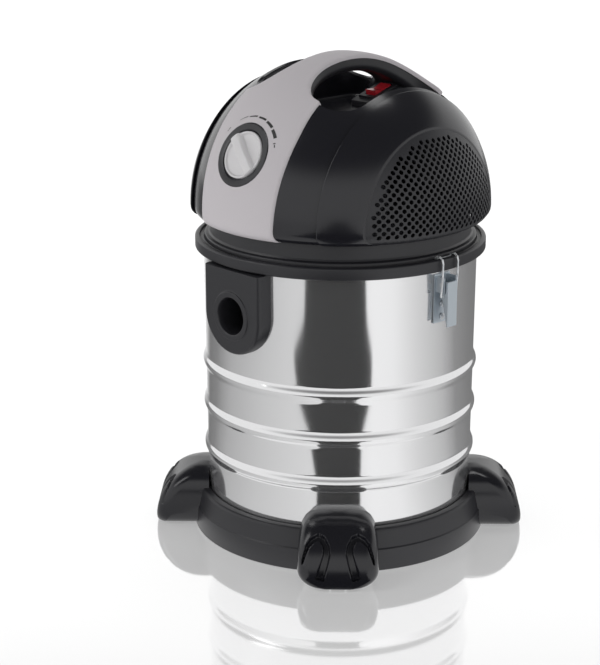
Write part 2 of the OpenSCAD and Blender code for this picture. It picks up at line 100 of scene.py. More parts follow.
@cache
def eased(rows: tuple[Point, ...], steps: int = 9) -> list[Point]:
    """A table of (x, value) rows made smooth, with more rows between the given ones."""
    out = []
    for i, (x0, y0) in enumerate(rows[:-1]):
        x1, y1 = rows[i + 1]
        before, after = rows[max(0, i - 1)], rows[min(len(rows) - 1, i + 2)]
        m0 = (y1 - before[1]) / (x1 - before[0]) * (x1 - x0)
        m1 = (after[1] - y0) / (after[0] - x0) * (x1 - x0)
        for t in spread(0, 1, steps)[:-1]:
            value = ((2 * t ** 3 - 3 * t ** 2 + 1) * y0 + (t ** 3 - 2 * t ** 2 + t) * m0
                     + (3 * t ** 2 - 2 * t ** 3) * y1 + (t ** 3 - t ** 2) * m1)
            out.append((lerp(x0, x1, t), value))
    return out + [rows[-1]]


def rounded(corners: Sequence[tuple[float, ...]], closed: bool = False, steps: int = 5) -> list[Point]:
    """Rounds the corners of a polyline.

    Args:
        corners: (a, b) for a sharp corner or (a, b, radius) for a round one.
        closed: whether the last corner joins the first.
        steps: segments in each rounded corner.

    Returns:
        The points of the rounded line.
    """
    out: list[Point] = []
    count = len(corners)
    for i, corner in enumerate(corners):
        here = Vector(corner[:2])
        if len(corner) < 3 or (not closed and i in (0, count - 1)):
            out.append(tuple(here))
            continue
        back = Vector(corners[i - 1][:2]) - here
        ahead = Vector(corners[(i + 1) % count][:2]) - here
        half = back.angle(ahead) / 2
        reach = min(corner[2] / math.tan(half), back.length * 0.49, ahead.length * 0.49)
        radius = reach * math.tan(half)
        a, b = here + back.normalized() * reach, here + ahead.normalized() * reach
        centre = here + (back.normalized() + ahead.normalized()).normalized() * radius / math.sin(half)
        for t in spread(0, 1, steps):
            arm = (a - centre).lerp(b - centre, t)
            out.append(tuple(centre + arm.normalized() * radius))
    return out


def arc(cx: float, cy: float, rx: float, ry: float, a0: float, a1: float, steps: int) -> list[Point]:
    """Points on an ellipse from angle a0 to a1, in degrees."""
    turns = (math.radians(a) for a in spread(a0, a1, steps))
    return [(cx + rx * math.cos(a), cy + ry * math.sin(a)) for a in turns]


def sweep_ring(mesh: Mesh, ring: list, places: Sequence[Sequence[float]]) -> list:
    """Extrudes a closed ring of vertices once and moves the new ring into place.

    Args:
        mesh: the mesh being built.
        ring: the ring's vertices in order.
        places: where the new vertices go, in the same order.

    Returns:
        The new ring's vertices in order.
    """
    edges = [mesh.edges.get((a, b)) for a, b in zip(ring, ring[1:] + ring[:1])]
    grown = bmesh.ops.extrude_edge_only(mesh, edges=edges)["geom"]
    fresh = {v for v in grown if isinstance(v, bmesh.types.BMVert)}
    new = [next(e.other_vert(v) for e in v.link_edges if e.other_vert(v) in fresh) for v in ring]
    for vert, place in zip(new, places):
        vert.co = place
    return new


def loft(rings: Sequence[Sequence[Sequence[float]]], caps: tuple[bool, bool] = (False, False)) -> Mesh:
    """Skin over closed rings that have the same number of points.

    Args:
        rings: the rings, each a list of places.
        caps: whether the first and the last ring are filled.

    Returns:
        The mesh.
    """
    mesh = bmesh.new()
    ring = bmesh.ops.create_circle(mesh, segments=len(rings[0]), radius=1)["verts"]
    for vert, place in zip(ring, rings[0]):
        vert.co = place
    first = ring
    for places in rings[1:]:
        ring = sweep_ring(mesh, ring, places)
    for wanted, rim in zip(caps, (first, ring)):
        if wanted:
            mesh.faces.new(rim)
    return mesh


def draped(nx: int, ny: int, place: Callable[[float, float], Sequence[float]]) -> Mesh:
    """Grid whose vertices are placed by a function of two values from 0 to 1."""
    mesh = bmesh.new()
    bmesh.ops.create_grid(mesh, x_segments=nx, y_segments=ny, size=0.5)
    for vert in mesh.verts:
        vert.co = place(vert.co.x + 0.5, vert.co.y + 0.5)
    return mesh


def turned(profile: Sequence[Point], steps: int = 128) -> Mesh:
    """Turns a profile of (radius, height) points about the Z axis."""
    mesh = bmesh.new()
    vert = bmesh.ops.create_vert(mesh, co=(profile[0][0], 0, profile[0][1]))["vert"][0]
    for radius, height in profile[1:]:
        grown = bmesh.ops.extrude_vert_indiv(mesh, verts=[vert])
        vert = grown["verts"][0]
        vert.co = (radius, 0, height)
    bmesh.ops.spin(mesh, geom=mesh.verts[:] + mesh.edges[:], cent=(0, 0, 0), axis=(0, 0, 1),
                   angle=math.tau, steps=steps, use_merge=True)
    bmesh.ops.remove_doubles(mesh, verts=mesh.verts, dist=1e-3)
    return mesh


def block(low: Sequence[float], high: Sequence[float], edge: float, steps: int = 3) -> Mesh:
    """Box between two corners with rounded edges."""
    mesh = bmesh.new()
    size = Vector(high) - Vector(low)
    middle = (Vector(high) + Vector(low)) / 2
    bmesh.ops.create_cube(mesh, size=1, matrix=Matrix.Translation(middle) @ Matrix.Diagonal((*size, 1)))
    bmesh.ops.bevel(mesh, geom=mesh.edges, offset=edge, segments=steps, profile=0.5, affect="EDGES",
                    material=-1)
    return mesh


def joined(*meshes: Mesh) -> Mesh:
    """One mesh from several; the first one takes in the others."""
    whole = meshes[0]
    for part in meshes[1:]:
        data = bpy.data.meshes.new("joined")
        part.to_mesh(data)
        part.free()
        whole.from_mesh(data)
        bpy.data.meshes.remove(data)
    return whole


def moved(mesh: Mesh, matrix: Matrix) -> Mesh:
    """The mesh after a transform, with its faces kept outward."""
    bmesh.ops.transform(mesh, matrix=matrix, verts=mesh.verts)
    if matrix.determinant() < 0:
        bmesh.ops.reverse_faces(mesh, faces=mesh.faces)
    return mesh


def cut(mesh: Mesh, point: Sequence[float], normal: Sequence[float]) -> Mesh:
    """The part of a mesh behind a plane; what lies on the normal's side is removed."""
    bmesh.ops.bisect_plane(mesh, geom=mesh.verts[:] + mesh.edges[:] + mesh.faces[:], plane_co=point,
                           plane_no=normal, clear_outer=True)
    return mesh


class Side(Enum):
    """Which side of the middle plane a piece is on."""

    RIGHT = "right"
    LEFT = "left"


def mirror_x(side: Side) -> Matrix:
    """Mirror across the middle plane for the left side, nothing for the right."""
    return Matrix.Diagonal((-1 if side is Side.LEFT else 1, 1, 1, 1))


def at_corner(name: str) -> Matrix:
    """Transform from a foot drawn along +X to the named corner."""
    return Matrix.Rotation(math.radians(CORNERS[name]), 4, "Z")


# ---------- finishes ----------


class NodeBook:
    """Builds the shader groups that the finishes share, each once."""

    def __init__(self) -> None:
        """Starts with no groups built."""
        self.built: dict[str, Tree] = {}

    def group(self, name: str, inputs: dict[str, float], outputs: Sequence[str],
              fill: Callable[[Tree, bpy.types.Node, bpy.types.Node], None]) -> Tree:
        """Returns the named group and builds it on first use.

        Args:
            name: the group's name.
            inputs: number inputs and their defaults.
            outputs: names of the number outputs.
            fill: adds the group's nodes between its input and output nodes.

        Returns:
            The shader group.
        """
        if name not in self.built:
            tree = bpy.data.node_groups.new(name, "ShaderNodeTree")
            for label, value in inputs.items():
                tree.interface.new_socket(
                    label, in_out="INPUT", socket_type="NodeSocketFloat").default_value = value
            for label in outputs:
                tree.interface.new_socket(label, in_out="OUTPUT", socket_type="NodeSocketFloat")
            fill(tree, tree.nodes.new("NodeGroupInput"), tree.nodes.new("NodeGroupOutput"))
            self.built[name] = tree
        return self.built[name]

    def mottle(self) -> Tree:
        """Soft uneven patches, as of handling and wiping."""

        def fill(tree: Tree, entry: bpy.types.Node, leave: bpy.types.Node) -> None:
            """Two sizes of noise, averaged."""
            place = tree.nodes.new("ShaderNodeTexCoord")
            add = tree.nodes.new("ShaderNodeMath")
            add.operation = "MULTIPLY_ADD"
            add.inputs[1].default_value = 0.35
            big, fine = tree.nodes.new("ShaderNodeTexNoise"), tree.nodes.new("ShaderNodeTexNoise")
            times = tree.nodes.new("ShaderNodeMath")
            times.operation = "MULTIPLY"
            times.inputs[1].default_value = 6.3
            tree.links.new(entry.outputs["Scale"], big.inputs["Scale"])
            tree.links.new(entry.outputs["Scale"], times.inputs[0])
            tree.links.new(times.outputs[0], fine.inputs["Scale"])
            for node in (big, fine):
                node.inputs["Detail"].default_value = 3
                tree.links.new(place.outputs["Object"], node.inputs["Vector"])
            tree.links.new(fine.outputs["Fac"], add.inputs[0])
            tree.links.new(big.outputs["Fac"], add.inputs[2])
            ramp = tree.nodes.new("ShaderNodeMapRange")
            ramp.inputs["From Min"].default_value = 0.45
            ramp.inputs["From Max"].default_value = 0.95
            tree.links.new(add.outputs[0], ramp.inputs["Value"])
            tree.links.new(ramp.outputs["Result"], leave.inputs["Mask"])

        return self.group("mottle", {"Scale": 9.0}, ["Mask"], fill)

    def brushing(self) -> Tree:
        """Fine lines around the vertical axis, as of rolled and polished sheet."""

        def fill(tree: Tree, entry: bpy.types.Node, leave: bpy.types.Node) -> None:
            """Noise squeezed flat along the turn."""
            place = tree.nodes.new("ShaderNodeTexCoord")
            squeeze = tree.nodes.new("ShaderNodeMapping")
            squeeze.inputs["Scale"].default_value = (3, 3, 900)
            noise = tree.nodes.new("ShaderNodeTexNoise")
            noise.inputs["Detail"].default_value = 2
            tree.links.new(place.outputs["Object"], squeeze.inputs["Vector"])
            tree.links.new(squeeze.outputs["Vector"], noise.inputs["Vector"])
            tree.links.new(entry.outputs["Scale"], noise.inputs["Scale"])
            tree.links.new(noise.outputs["Fac"], leave.inputs["Mask"])

        return self.group("brushing", {"Scale": 1.0}, ["Mask"], fill)

    def grain(self) -> Tree:
        """Small even bumps, as of a textured mould or sprayed paint."""

        def fill(tree: Tree, entry: bpy.types.Node, leave: bpy.types.Node) -> None:
            """One fine noise."""
            place = tree.nodes.new("ShaderNodeTexCoord")
            noise = tree.nodes.new("ShaderNodeTexNoise")
            noise.inputs["Detail"].default_value = 2
            tree.links.new(place.outputs["Object"], noise.inputs["Vector"])
            tree.links.new(entry.outputs["Scale"], noise.inputs["Scale"])
            tree.links.new(noise.outputs["Fac"], leave.inputs["Mask"])

        return self.group("grain", {"Scale": 1500.0}, ["Mask"], fill)

    def scuffs(self) -> Tree:
        """Sparse thin scratches in mixed directions."""

        def fill(tree: Tree, entry: bpy.types.Node, leave: bpy.types.Node) -> None:
            """The cell borders of a stretched and bent pattern, kept in a few places."""
            place = tree.nodes.new("ShaderNodeTexCoord")
            stretch = tree.nodes.new("ShaderNodeMapping")
            stretch.inputs["Scale"].default_value = (1, 2.4, 7)
            stretch.inputs["Rotation"].default_value = (0.5, 0.3, 0.9)
            cells = tree.nodes.new("ShaderNodeTexVoronoi")
            cells.feature = "DISTANCE_TO_EDGE"
            patches = tree.nodes.new("ShaderNodeTexNoise")
            patches.inputs["Scale"].default_value = 14
            line, some = tree.nodes.new("ShaderNodeMapRange"), tree.nodes.new("ShaderNodeMapRange")
            both = tree.nodes.new("ShaderNodeMath")
            both.operation = "MULTIPLY"
            for node, low, high in ((line, 0.012, 0.0), (some, 0.56, 0.66)):
                node.inputs["From Min"].default_value = low
                node.inputs["From Max"].default_value = high
            tree.links.new(place.outputs["Object"], stretch.inputs["Vector"])
            tree.links.new(stretch.outputs["Vector"], cells.inputs["Vector"])
            tree.links.new(place.outputs["Object"], patches.inputs["Vector"])
            tree.links.new(entry.outputs["Scale"], cells.inputs["Scale"])
            tree.links.new(cells.outputs["Distance"], line.inputs["Value"])
            tree.links.new(patches.outputs["Fac"], some.inputs["Value"])
            tree.links.new(line.outputs["Result"], both.inputs[0])
            tree.links.new(some.outputs["Result"], both.inputs[1])
            tree.links.new(both.outputs[0], leave.inputs["Mask"])

        return self.group("scuffs", {"Scale": 22.0}, ["Mask"], fill)


BOOK = NodeBook()


@dataclass(frozen=True)
class Effect:
    """One shader group laid over a finish.

    Attributes:
        group: method of the node book that builds the group.
        scale: the group's Scale input.
        rough: how much the mask adds to roughness.
        tint: how far the mask moves the colour to the second colour.
        bump: height of the mask, in metres.
    """

    group: Callable[[NodeBook], Tree]
    scale: float
    rough: float = 0.0
    tint: float = 0.0
    bump: float = 0.0


@dataclass(frozen=True)
class Finish:
    """A surface finish, built as a material on first use.

    Attributes:
        name: the material's name.
        colour: base colour, linear.
        worn: colour that the effects lead to, linear.
        rough: roughness.
        metal: metallic value.
        coat: clear coat weight.
        coat_rough: clear coat roughness.
        shine: strength of the reflections off plastic.
        effects: shared effects over the base.
    """

    name: str
    colour: Rgb
    worn: Rgb
    rough: float
    metal: float = 0.0
    coat: float = 0.0
    coat_rough: float = 0.05
    shine: float = 0.5
    effects: tuple[Effect, ...] = ()

    def material(self) -> bpy.types.Material:
        """The finish as a material, made once."""
        return bpy.data.materials.get(self.name) or self._build()

    def _build(self) -> bpy.types.Material:
        """Makes the node tree: effects feed colour, roughness and bump."""
        material = bpy.data.materials.new(self.name)
        material.use_nodes = True
        tree = material.node_tree
        shader = tree.nodes["Principled BSDF"]
        shader.inputs["Base Color"].default_value = (*self.colour, 1)
        shader.inputs["Roughness"].default_value = self.rough
        shader.inputs["Metallic"].default_value = self.metal
        shader.inputs["Coat Weight"].default_value = self.coat
        shader.inputs["Coat Roughness"].default_value = self.coat_rough
        shader.inputs["Specular IOR Level"].default_value = self.shine
        rough, tint, bump = None, None, None
        for effect in self.effects:
            group = tree.nodes.new("ShaderNodeGroup")
            group.node_tree = effect.group(BOOK)
            group.inputs["Scale"].default_value = effect.scale
            mask = group.outputs["Mask"]
            if effect.rough:
                rough = self._add(tree, mask, effect.rough, rough, self.rough)
            if effect.tint:
                tint = self._add(tree, mask, effect.tint, tint, 0)
            if effect.bump:
                relief = tree.nodes.new("ShaderNodeBump")
                relief.inputs["Distance"].default_value = effect.bump
                tree.links.new(mask, relief.inputs["Height"])
                if bump is not None:
                    tree.links.new(bump, relief.inputs["Normal"])
                bump = relief.outputs["Normal"]
        if rough is not None:
            tree.links.new(rough, shader.inputs["Roughness"])
        if tint is not None:
            mix = tree.nodes.new("ShaderNodeMix")
            mix.data_type = "RGBA"
            mix.inputs["A"].default_value = (*self.colour, 1)
            mix.inputs["B"].default_value = (*self.worn, 1)
            tree.links.new(tint, mix.inputs["Factor"])
            tree.links.new(mix.outputs["Result"], shader.inputs["Base Color"])
        if bump is not None:
            tree.links.new(bump, shader.inputs["Normal"])
        return material

    @staticmethod
    def _add(tree: Tree, mask: bpy.types.NodeSocket, amount: float,
             before: bpy.types.NodeSocket | None, start: float) -> bpy.types.NodeSocket:
        """Adds amount times mask to what came before, or to the starting value."""
        node = tree.nodes.new("ShaderNodeMath")
        node.operation = "MULTIPLY_ADD"
        node.use_clamp = True
        node.inputs[1].default_value = amount
        node.inputs[2].default_value = start
        tree.links.new(mask, node.inputs[0])
        if before is not None:
            tree.links.new(before, node.inputs[2])
        return node.outputs[0]


def grey(value: float) -> Rgb:
    """A neutral colour."""
    return (value, value, value)


HANDLED = Effect(NodeBook.mottle, 9, rough=0.04, tint=0.15)
SCRATCHED = Effect(NodeBook.scuffs, 22, rough=0.08, tint=0.08)
MOULDED = Effect(NodeBook.grain, 1600, bump=0.00003)

POLISHED_STEEL = Finish("polished_steel", grey(0.86), grey(0.78), 0.085, metal=1, effects=(
    Effect(NodeBook.brushing, 1, rough=0.05, bump=0.000004), Effect(NodeBook.mottle, 8, rough=0.03,
                                                                    tint=0.12)))
GLOSS_BLACK = Finish("gloss_black", grey(0.002), grey(0.006), 0.06, shine=0.42, effects=(HANDLED, SCRATCHED))
SATIN_BLACK = Finish("satin_black", grey(0.003), grey(0.010), 0.25, shine=0.22, effects=(HANDLED, MOULDED))
DARK_MOULDING = Finish("dark_moulding", grey(0.02), grey(0.045), 0.5, effects=(HANDLED, MOULDED))
SILVER_PAINT = Finish("silver_paint", (0.42, 0.40, 0.415), (0.36, 0.34, 0.36), 0.38, metal=0.6, coat=0.2,
                      coat_rough=0.12, effects=(Effect(NodeBook.grain, 2600, tint=0.25, bump=0.00001),
                                                HANDLED))
KNOB_SILVER = Finish("knob_silver", grey(0.62), grey(0.52), 0.34, metal=0.35, coat=0.3, effects=(
    Effect(NodeBook.grain, 2600, tint=0.2), HANDLED))
RED_ROCKER = Finish("red_rocker", (0.30, 0.010, 0.010), (0.22, 0.015, 0.015), 0.25, effects=(HANDLED,))
SEAL_RUBBER = Finish("seal_rubber", grey(0.013), grey(0.03), 0.65, effects=(HANDLED, MOULDED))
ZINC_PLATE = Finish("zinc_plate", (0.55, 0.60, 0.66), (0.48, 0.50, 0.54), 0.24, metal=0.95, effects=(
    HANDLED, SCRATCHED))
BRIGHT_WIRE = Finish("bright_wire", grey(0.74), grey(0.6), 0.18, metal=1, effects=(HANDLED,))
SCREW_STEEL = Finish("screw_steel", grey(0.5), grey(0.4), 0.28, metal=1, effects=(HANDLED,))
FORK_STEEL = Finish("fork_steel", grey(0.42), grey(0.34), 0.3, metal=1, effects=(HANDLED, SCRATCHED))
WHEEL_PLASTIC = Finish("wheel_plastic", grey(0.03), grey(0.07), 0.45, effects=(HANDLED, SCRATCHED))
MOTOR_CASE = Finish("motor_case", grey(0.03), grey(0.06), 0.42, effects=(HANDLED, MOULDED))
SHAFT_STEEL = Finish("shaft_steel", grey(0.6), grey(0.5), 0.2, metal=1, effects=(HANDLED,))
COPPER = Finish("copper_winding", (0.62, 0.24, 0.09), (0.42, 0.15, 0.06), 0.35, metal=0.9, effects=(
    Effect(NodeBook.brushing, 1.4, tint=0.5),))
IMPELLER_METAL = Finish("impeller_metal", grey(0.7), grey(0.6), 0.28, metal=1, effects=(HANDLED,))
BOARD = Finish("control_board", (0.02, 0.10, 0.04), (0.03, 0.14, 0.06), 0.4, effects=(HANDLED,))
FLOAT_WHITE = Finish("float_white", grey(0.72), grey(0.6), 0.4, effects=(HANDLED, MOULDED))
FILTER_PAPER = Finish("filter_paper", (0.70, 0.68, 0.62), (0.5, 0.47, 0.42), 0.9, effects=(HANDLED, MOULDED))
PRINT_INK = Finish("print_ink", grey(0.012), grey(0.02), 0.45, effects=(HANDLED,))


def dressed(mesh: Mesh, name: str, finish: Finish, body: str, slot: str,
            replaces: Sequence[str] = (), crease: float = 34) -> bpy.types.Object:
    """Makes a built mesh into a shown piece of the machine.

    Args:
        mesh: the mesh in millimetres; it is used up.
        name: the piece's name.
        finish: its finish.
        body: the CAD body it moves with.
        slot: the material slot it stands for; not used.
        replaces: CAD nodes that it is shown in place of.
        crease: angle in degrees above which an edge stays sharp.

    Returns:
        The piece.
    """
    bmesh.ops.scale(mesh, vec=(MM, MM, MM), verts=mesh.verts)
    bmesh.ops.recalc_face_normals(mesh, faces=mesh.faces)
    data = bpy.data.meshes.new(name)
    mesh.to_mesh(data)
    mesh.free()
    data.polygons.foreach_set("use_smooth", [True] * len(data.polygons))
    data.set_sharp_from_angle(angle=math.radians(crease))
    data.materials.append(finish.material())
    piece = bpy.data.objects.new(name, data)
    bpy.context.scene.collection.objects.link(piece)
    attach(piece, body)
    if replaces:
        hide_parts(*replaces)
    log.info("%s: %d faces", name, len(data.polygons))
    return piece


def carved(mesh: Mesh, *tools: Mesh) -> Mesh:
    """Cuts closed tools out of a closed mesh.

    Args:
        mesh: the mesh to cut.
        tools: what is cut out of it; they are used up.

    Returns:
        The cut mesh.
    """
    parts = []
    for shape in (mesh, joined(*tools)):
        bmesh.ops.recalc_face_normals(shape, faces=shape.faces)
        data = bpy.data.meshes.new("carving")
        shape.to_mesh(data)
        shape.free()
        parts.append(bpy.data.objects.new("carving", data))
        bpy.context.scene.collection.objects.link(parts[-1])
    change = parts[0].modifiers.new("cut", "BOOLEAN")
    change.operation, change.solver, change.object = "DIFFERENCE", "EXACT", parts[1]
    result = bmesh.new()
    result.from_object(parts[0], bpy.context.evaluated_depsgraph_get())
    for part in parts:
        bpy.data.meshes.remove(part.data)
    bmesh.ops.remove_doubles(result, verts=result.verts, dist=1e-3)
    return result


def pillar(radius: float, low: float, high: float, place: Matrix = Matrix(), steps: int = 96) -> Mesh:
    """Closed cylinder along Z between two heights, then put in place."""
    return moved(turned([(0, low), (radius, low), (radius, high), (0, high)], steps), place)


def thickened(mesh: Mesh, shift: Callable[[Vector], Vector]) -> Mesh:
    """Gives a sheet a second side, placed by a function of the first."""
    grown = bmesh.ops.extrude_face_region(mesh, geom=mesh.faces[:], use_keep_orig=True)["geom"]
    for vert in grown:
        if isinstance(vert, bmesh.types.BMVert):
            vert.co = shift(vert.co)
    return mesh


def refined(node: str, finish: Finish, body: str, slot: str, edge: float = 0.35) -> bpy.types.Object:
    """Shows a CAD node as a merged copy with softened edges.

    Args:
        node: the CAD node.
        finish: its finish.
        body: the CAD body that it moves with.
        slot: its material slot.
        edge: width of the softened edges.

    Returns:
        The piece.
    """
    mesh = bmesh.new()
    mesh.from_mesh(bpy.data.objects[node].data)
    bmesh.ops.scale(mesh, vec=(1 / MM,) * 3, verts=mesh.verts)
    bmesh.ops.remove_doubles(mesh, verts=mesh.verts, dist=2e-3)
    bmesh.ops.dissolve_limit(mesh, angle_limit=math.radians(0.6), verts=mesh.verts, edges=mesh.edges)
    piece = dressed(mesh, f"{node}_shown", finish, body, slot, [node])
    soften = piece.modifiers.new("soft_edges", "BEVEL")
    soften.width, soften.segments, soften.limit_method = edge * MM, 2, "ANGLE"
    soften.angle_limit = math.radians(35)
    soften.harden_normals = True
    return piece


# ---------- drum ----------


@dataclass
class Drum:
    """Steel drum with three rolled beads and a moulded hose inlet.

    Attributes:
        foot_r: outer radius at the floor of the drum.
        rim_r: outer radius at the rim.
        floor_z: height of its floor.
        rim_z: height of its rim.
        beads: heights of the bead crests.
        bead_h: how far a bead stands out.
        bead_half: half of a bead's height.
        wall: thickness of the sheet.
        port_z: height of the inlet's axis.
        port_half: half of the inlet boss's width.
        port_face: distance of the boss's face from the axis.
        bore_r: radius of the hose bore.
    """

    foot_r: float = 147.7
    rim_r: float = 150.0
    floor_z: float = 22.0
    rim_z: float = 321.4
    beads: tuple[float, ...] = (95.6, 145.2, 194.7)
    bead_h: float = 3.4
    bead_half: float = 9.8
    wall: float = 1.0
    port_z: float = 271.5
    port_half: float = 42.5
    port_face: float = 161.5
    bore_r: float = 20.0

    def radius(self, z: float) -> float:
        """Outer radius of the wall at a height, beads included."""
        away = min(abs(z - bead) for bead in self.beads) / self.bead_half
        swell = 0.5 + 0.5 * math.cos(math.pi * min(1.0, away))
        up = (z - self.floor_z) / (self.rim_z - self.floor_z)
        return lerp(self.foot_r, self.rim_r, up) + self.bead_h * swell

    def shell(self) -> Mesh:
        """The drum's sheet with the inlet's hole."""
        clear = self.bead_half + 0.5
        heights = [self.floor_z + 5.5]
        for bead in self.beads:
            heights += spread(heights[-1] + 0.6, bead - clear - 0.6, 5)
            heights += spread(bead - clear, bead + clear, 24)
        heights += spread(heights[-1] + 0.6, self.rim_z - 0.4, 10) + [self.rim_z]
        outer = [(self.radius(z), z) for z in heights]
        foot = arc(self.foot_r - 5, self.floor_z + 5, 5, 5, -90, -5, 5)
        inner = [(r - self.wall, z) for r, z in reversed(foot + outer)]
        inner = [(r, max(z, self.floor_z + self.wall)) for r, z in inner]
        profile = [(0, self.floor_z), *foot, *outer, *inner, (0, self.floor_z + self.wall)]
        bore = pillar(24.4, 100, 170, self.inlet_place())
        return carved(turned(profile, 192), bore)

    def inlet_place(self) -> Matrix:
        """Frame with Z along the inlet's axis, toward the front."""
        return Matrix.Translation((0, 0, self.port_z)) @ Matrix.Rotation(math.pi / 2, 4, "X")

    def boss_outline(self, inset: float) -> list[Point]:
        """Outline of the boss across its axis: a half circle below, straight sides up to the rim."""
        half, top = self.port_half - inset, self.rim_z - self.port_z - 0.2 - inset * 0.3
        low = arc(0, 0, half, half, 180, 360, 40)
        right = [(half, top * t) for t in spread(0.15, 1, 5)]
        over = [(lerp(half, -half, t), top) for t in spread(0.08, 0.92, 12)]
        left = [(-half, top * t) for t in spread(1, 0.15, 5)]
        return low + right + over + left

    def inlet(self) -> Mesh:
        """The inlet boss with its raised ring, bore and tube."""
        outline = self.boss_outline(0)

        def seat(inset: float, y: float) -> list[Vector]:
            """Boss outline at a distance in front of the axis."""
            return [Vector((x, -y, self.port_z + z)) for x, z in self.boss_outline(inset)]

        def ring(radius: float, y: float) -> list[Vector]:
            """Circle whose points lie in the directions of the outline's points."""
            turns = [math.atan2(z, x) for x, z in outline]
            return [Vector((radius * math.cos(a), -y, self.port_z + radius * math.sin(a))) for a in turns]

        rings = [[Vector((x, -math.sqrt(self.rim_r ** 2 - x * x) + 0.8, self.port_z + z)) for x,
                  z in outline]]
        rings.append(seat(0, self.port_face - 6))
        for a in (15, 30, 45, 60, 75, 90):
            turn = math.radians(a)
            rings.append(seat(3.2 * (1 - math.cos(turn)), self.port_face - 6 * (1 - math.sin(turn))))
        rings.append(seat(3.8, self.port_face))
        face, bore = self.port_face, self.bore_r
        for radius, y in ((29, face), (27.2, face), (26.7, face + 0.3), (26.5, face + 1), (26.1, face + 1.4),
                          (25.5, face + 1.5), (21.4, face + 1.5), (20.5, face + 1.2), (bore, face + 0.5),
                          (bore, face - 6), (bore, 133), (bore + 0.4, 132.3), (21, 132), (23, 132),
                          (23.6, 132.6), (23.6, 150)):
            rings.append(ring(radius, y))
        return loft(rings)

    def build(self) -> None:
        """Makes and dresses every piece of the drum."""
        dressed(self.shell(), "drum_shell", POLISHED_STEEL, "drum_body", "polished_steel", ["drum"], 50)
        dressed(self.inlet(), "inlet_boss", SATIN_BLACK, "drum_body", "satin_black", ["inlet_port"], 40)
        refined("inlet_gasket", SEAL_RUBBER, "drum_body", "seal_rubber", 0.2)
        refined("inlet_deflector", DARK_MOULDING, "drum_body", "dark_moulding")


# ---------- base ----------


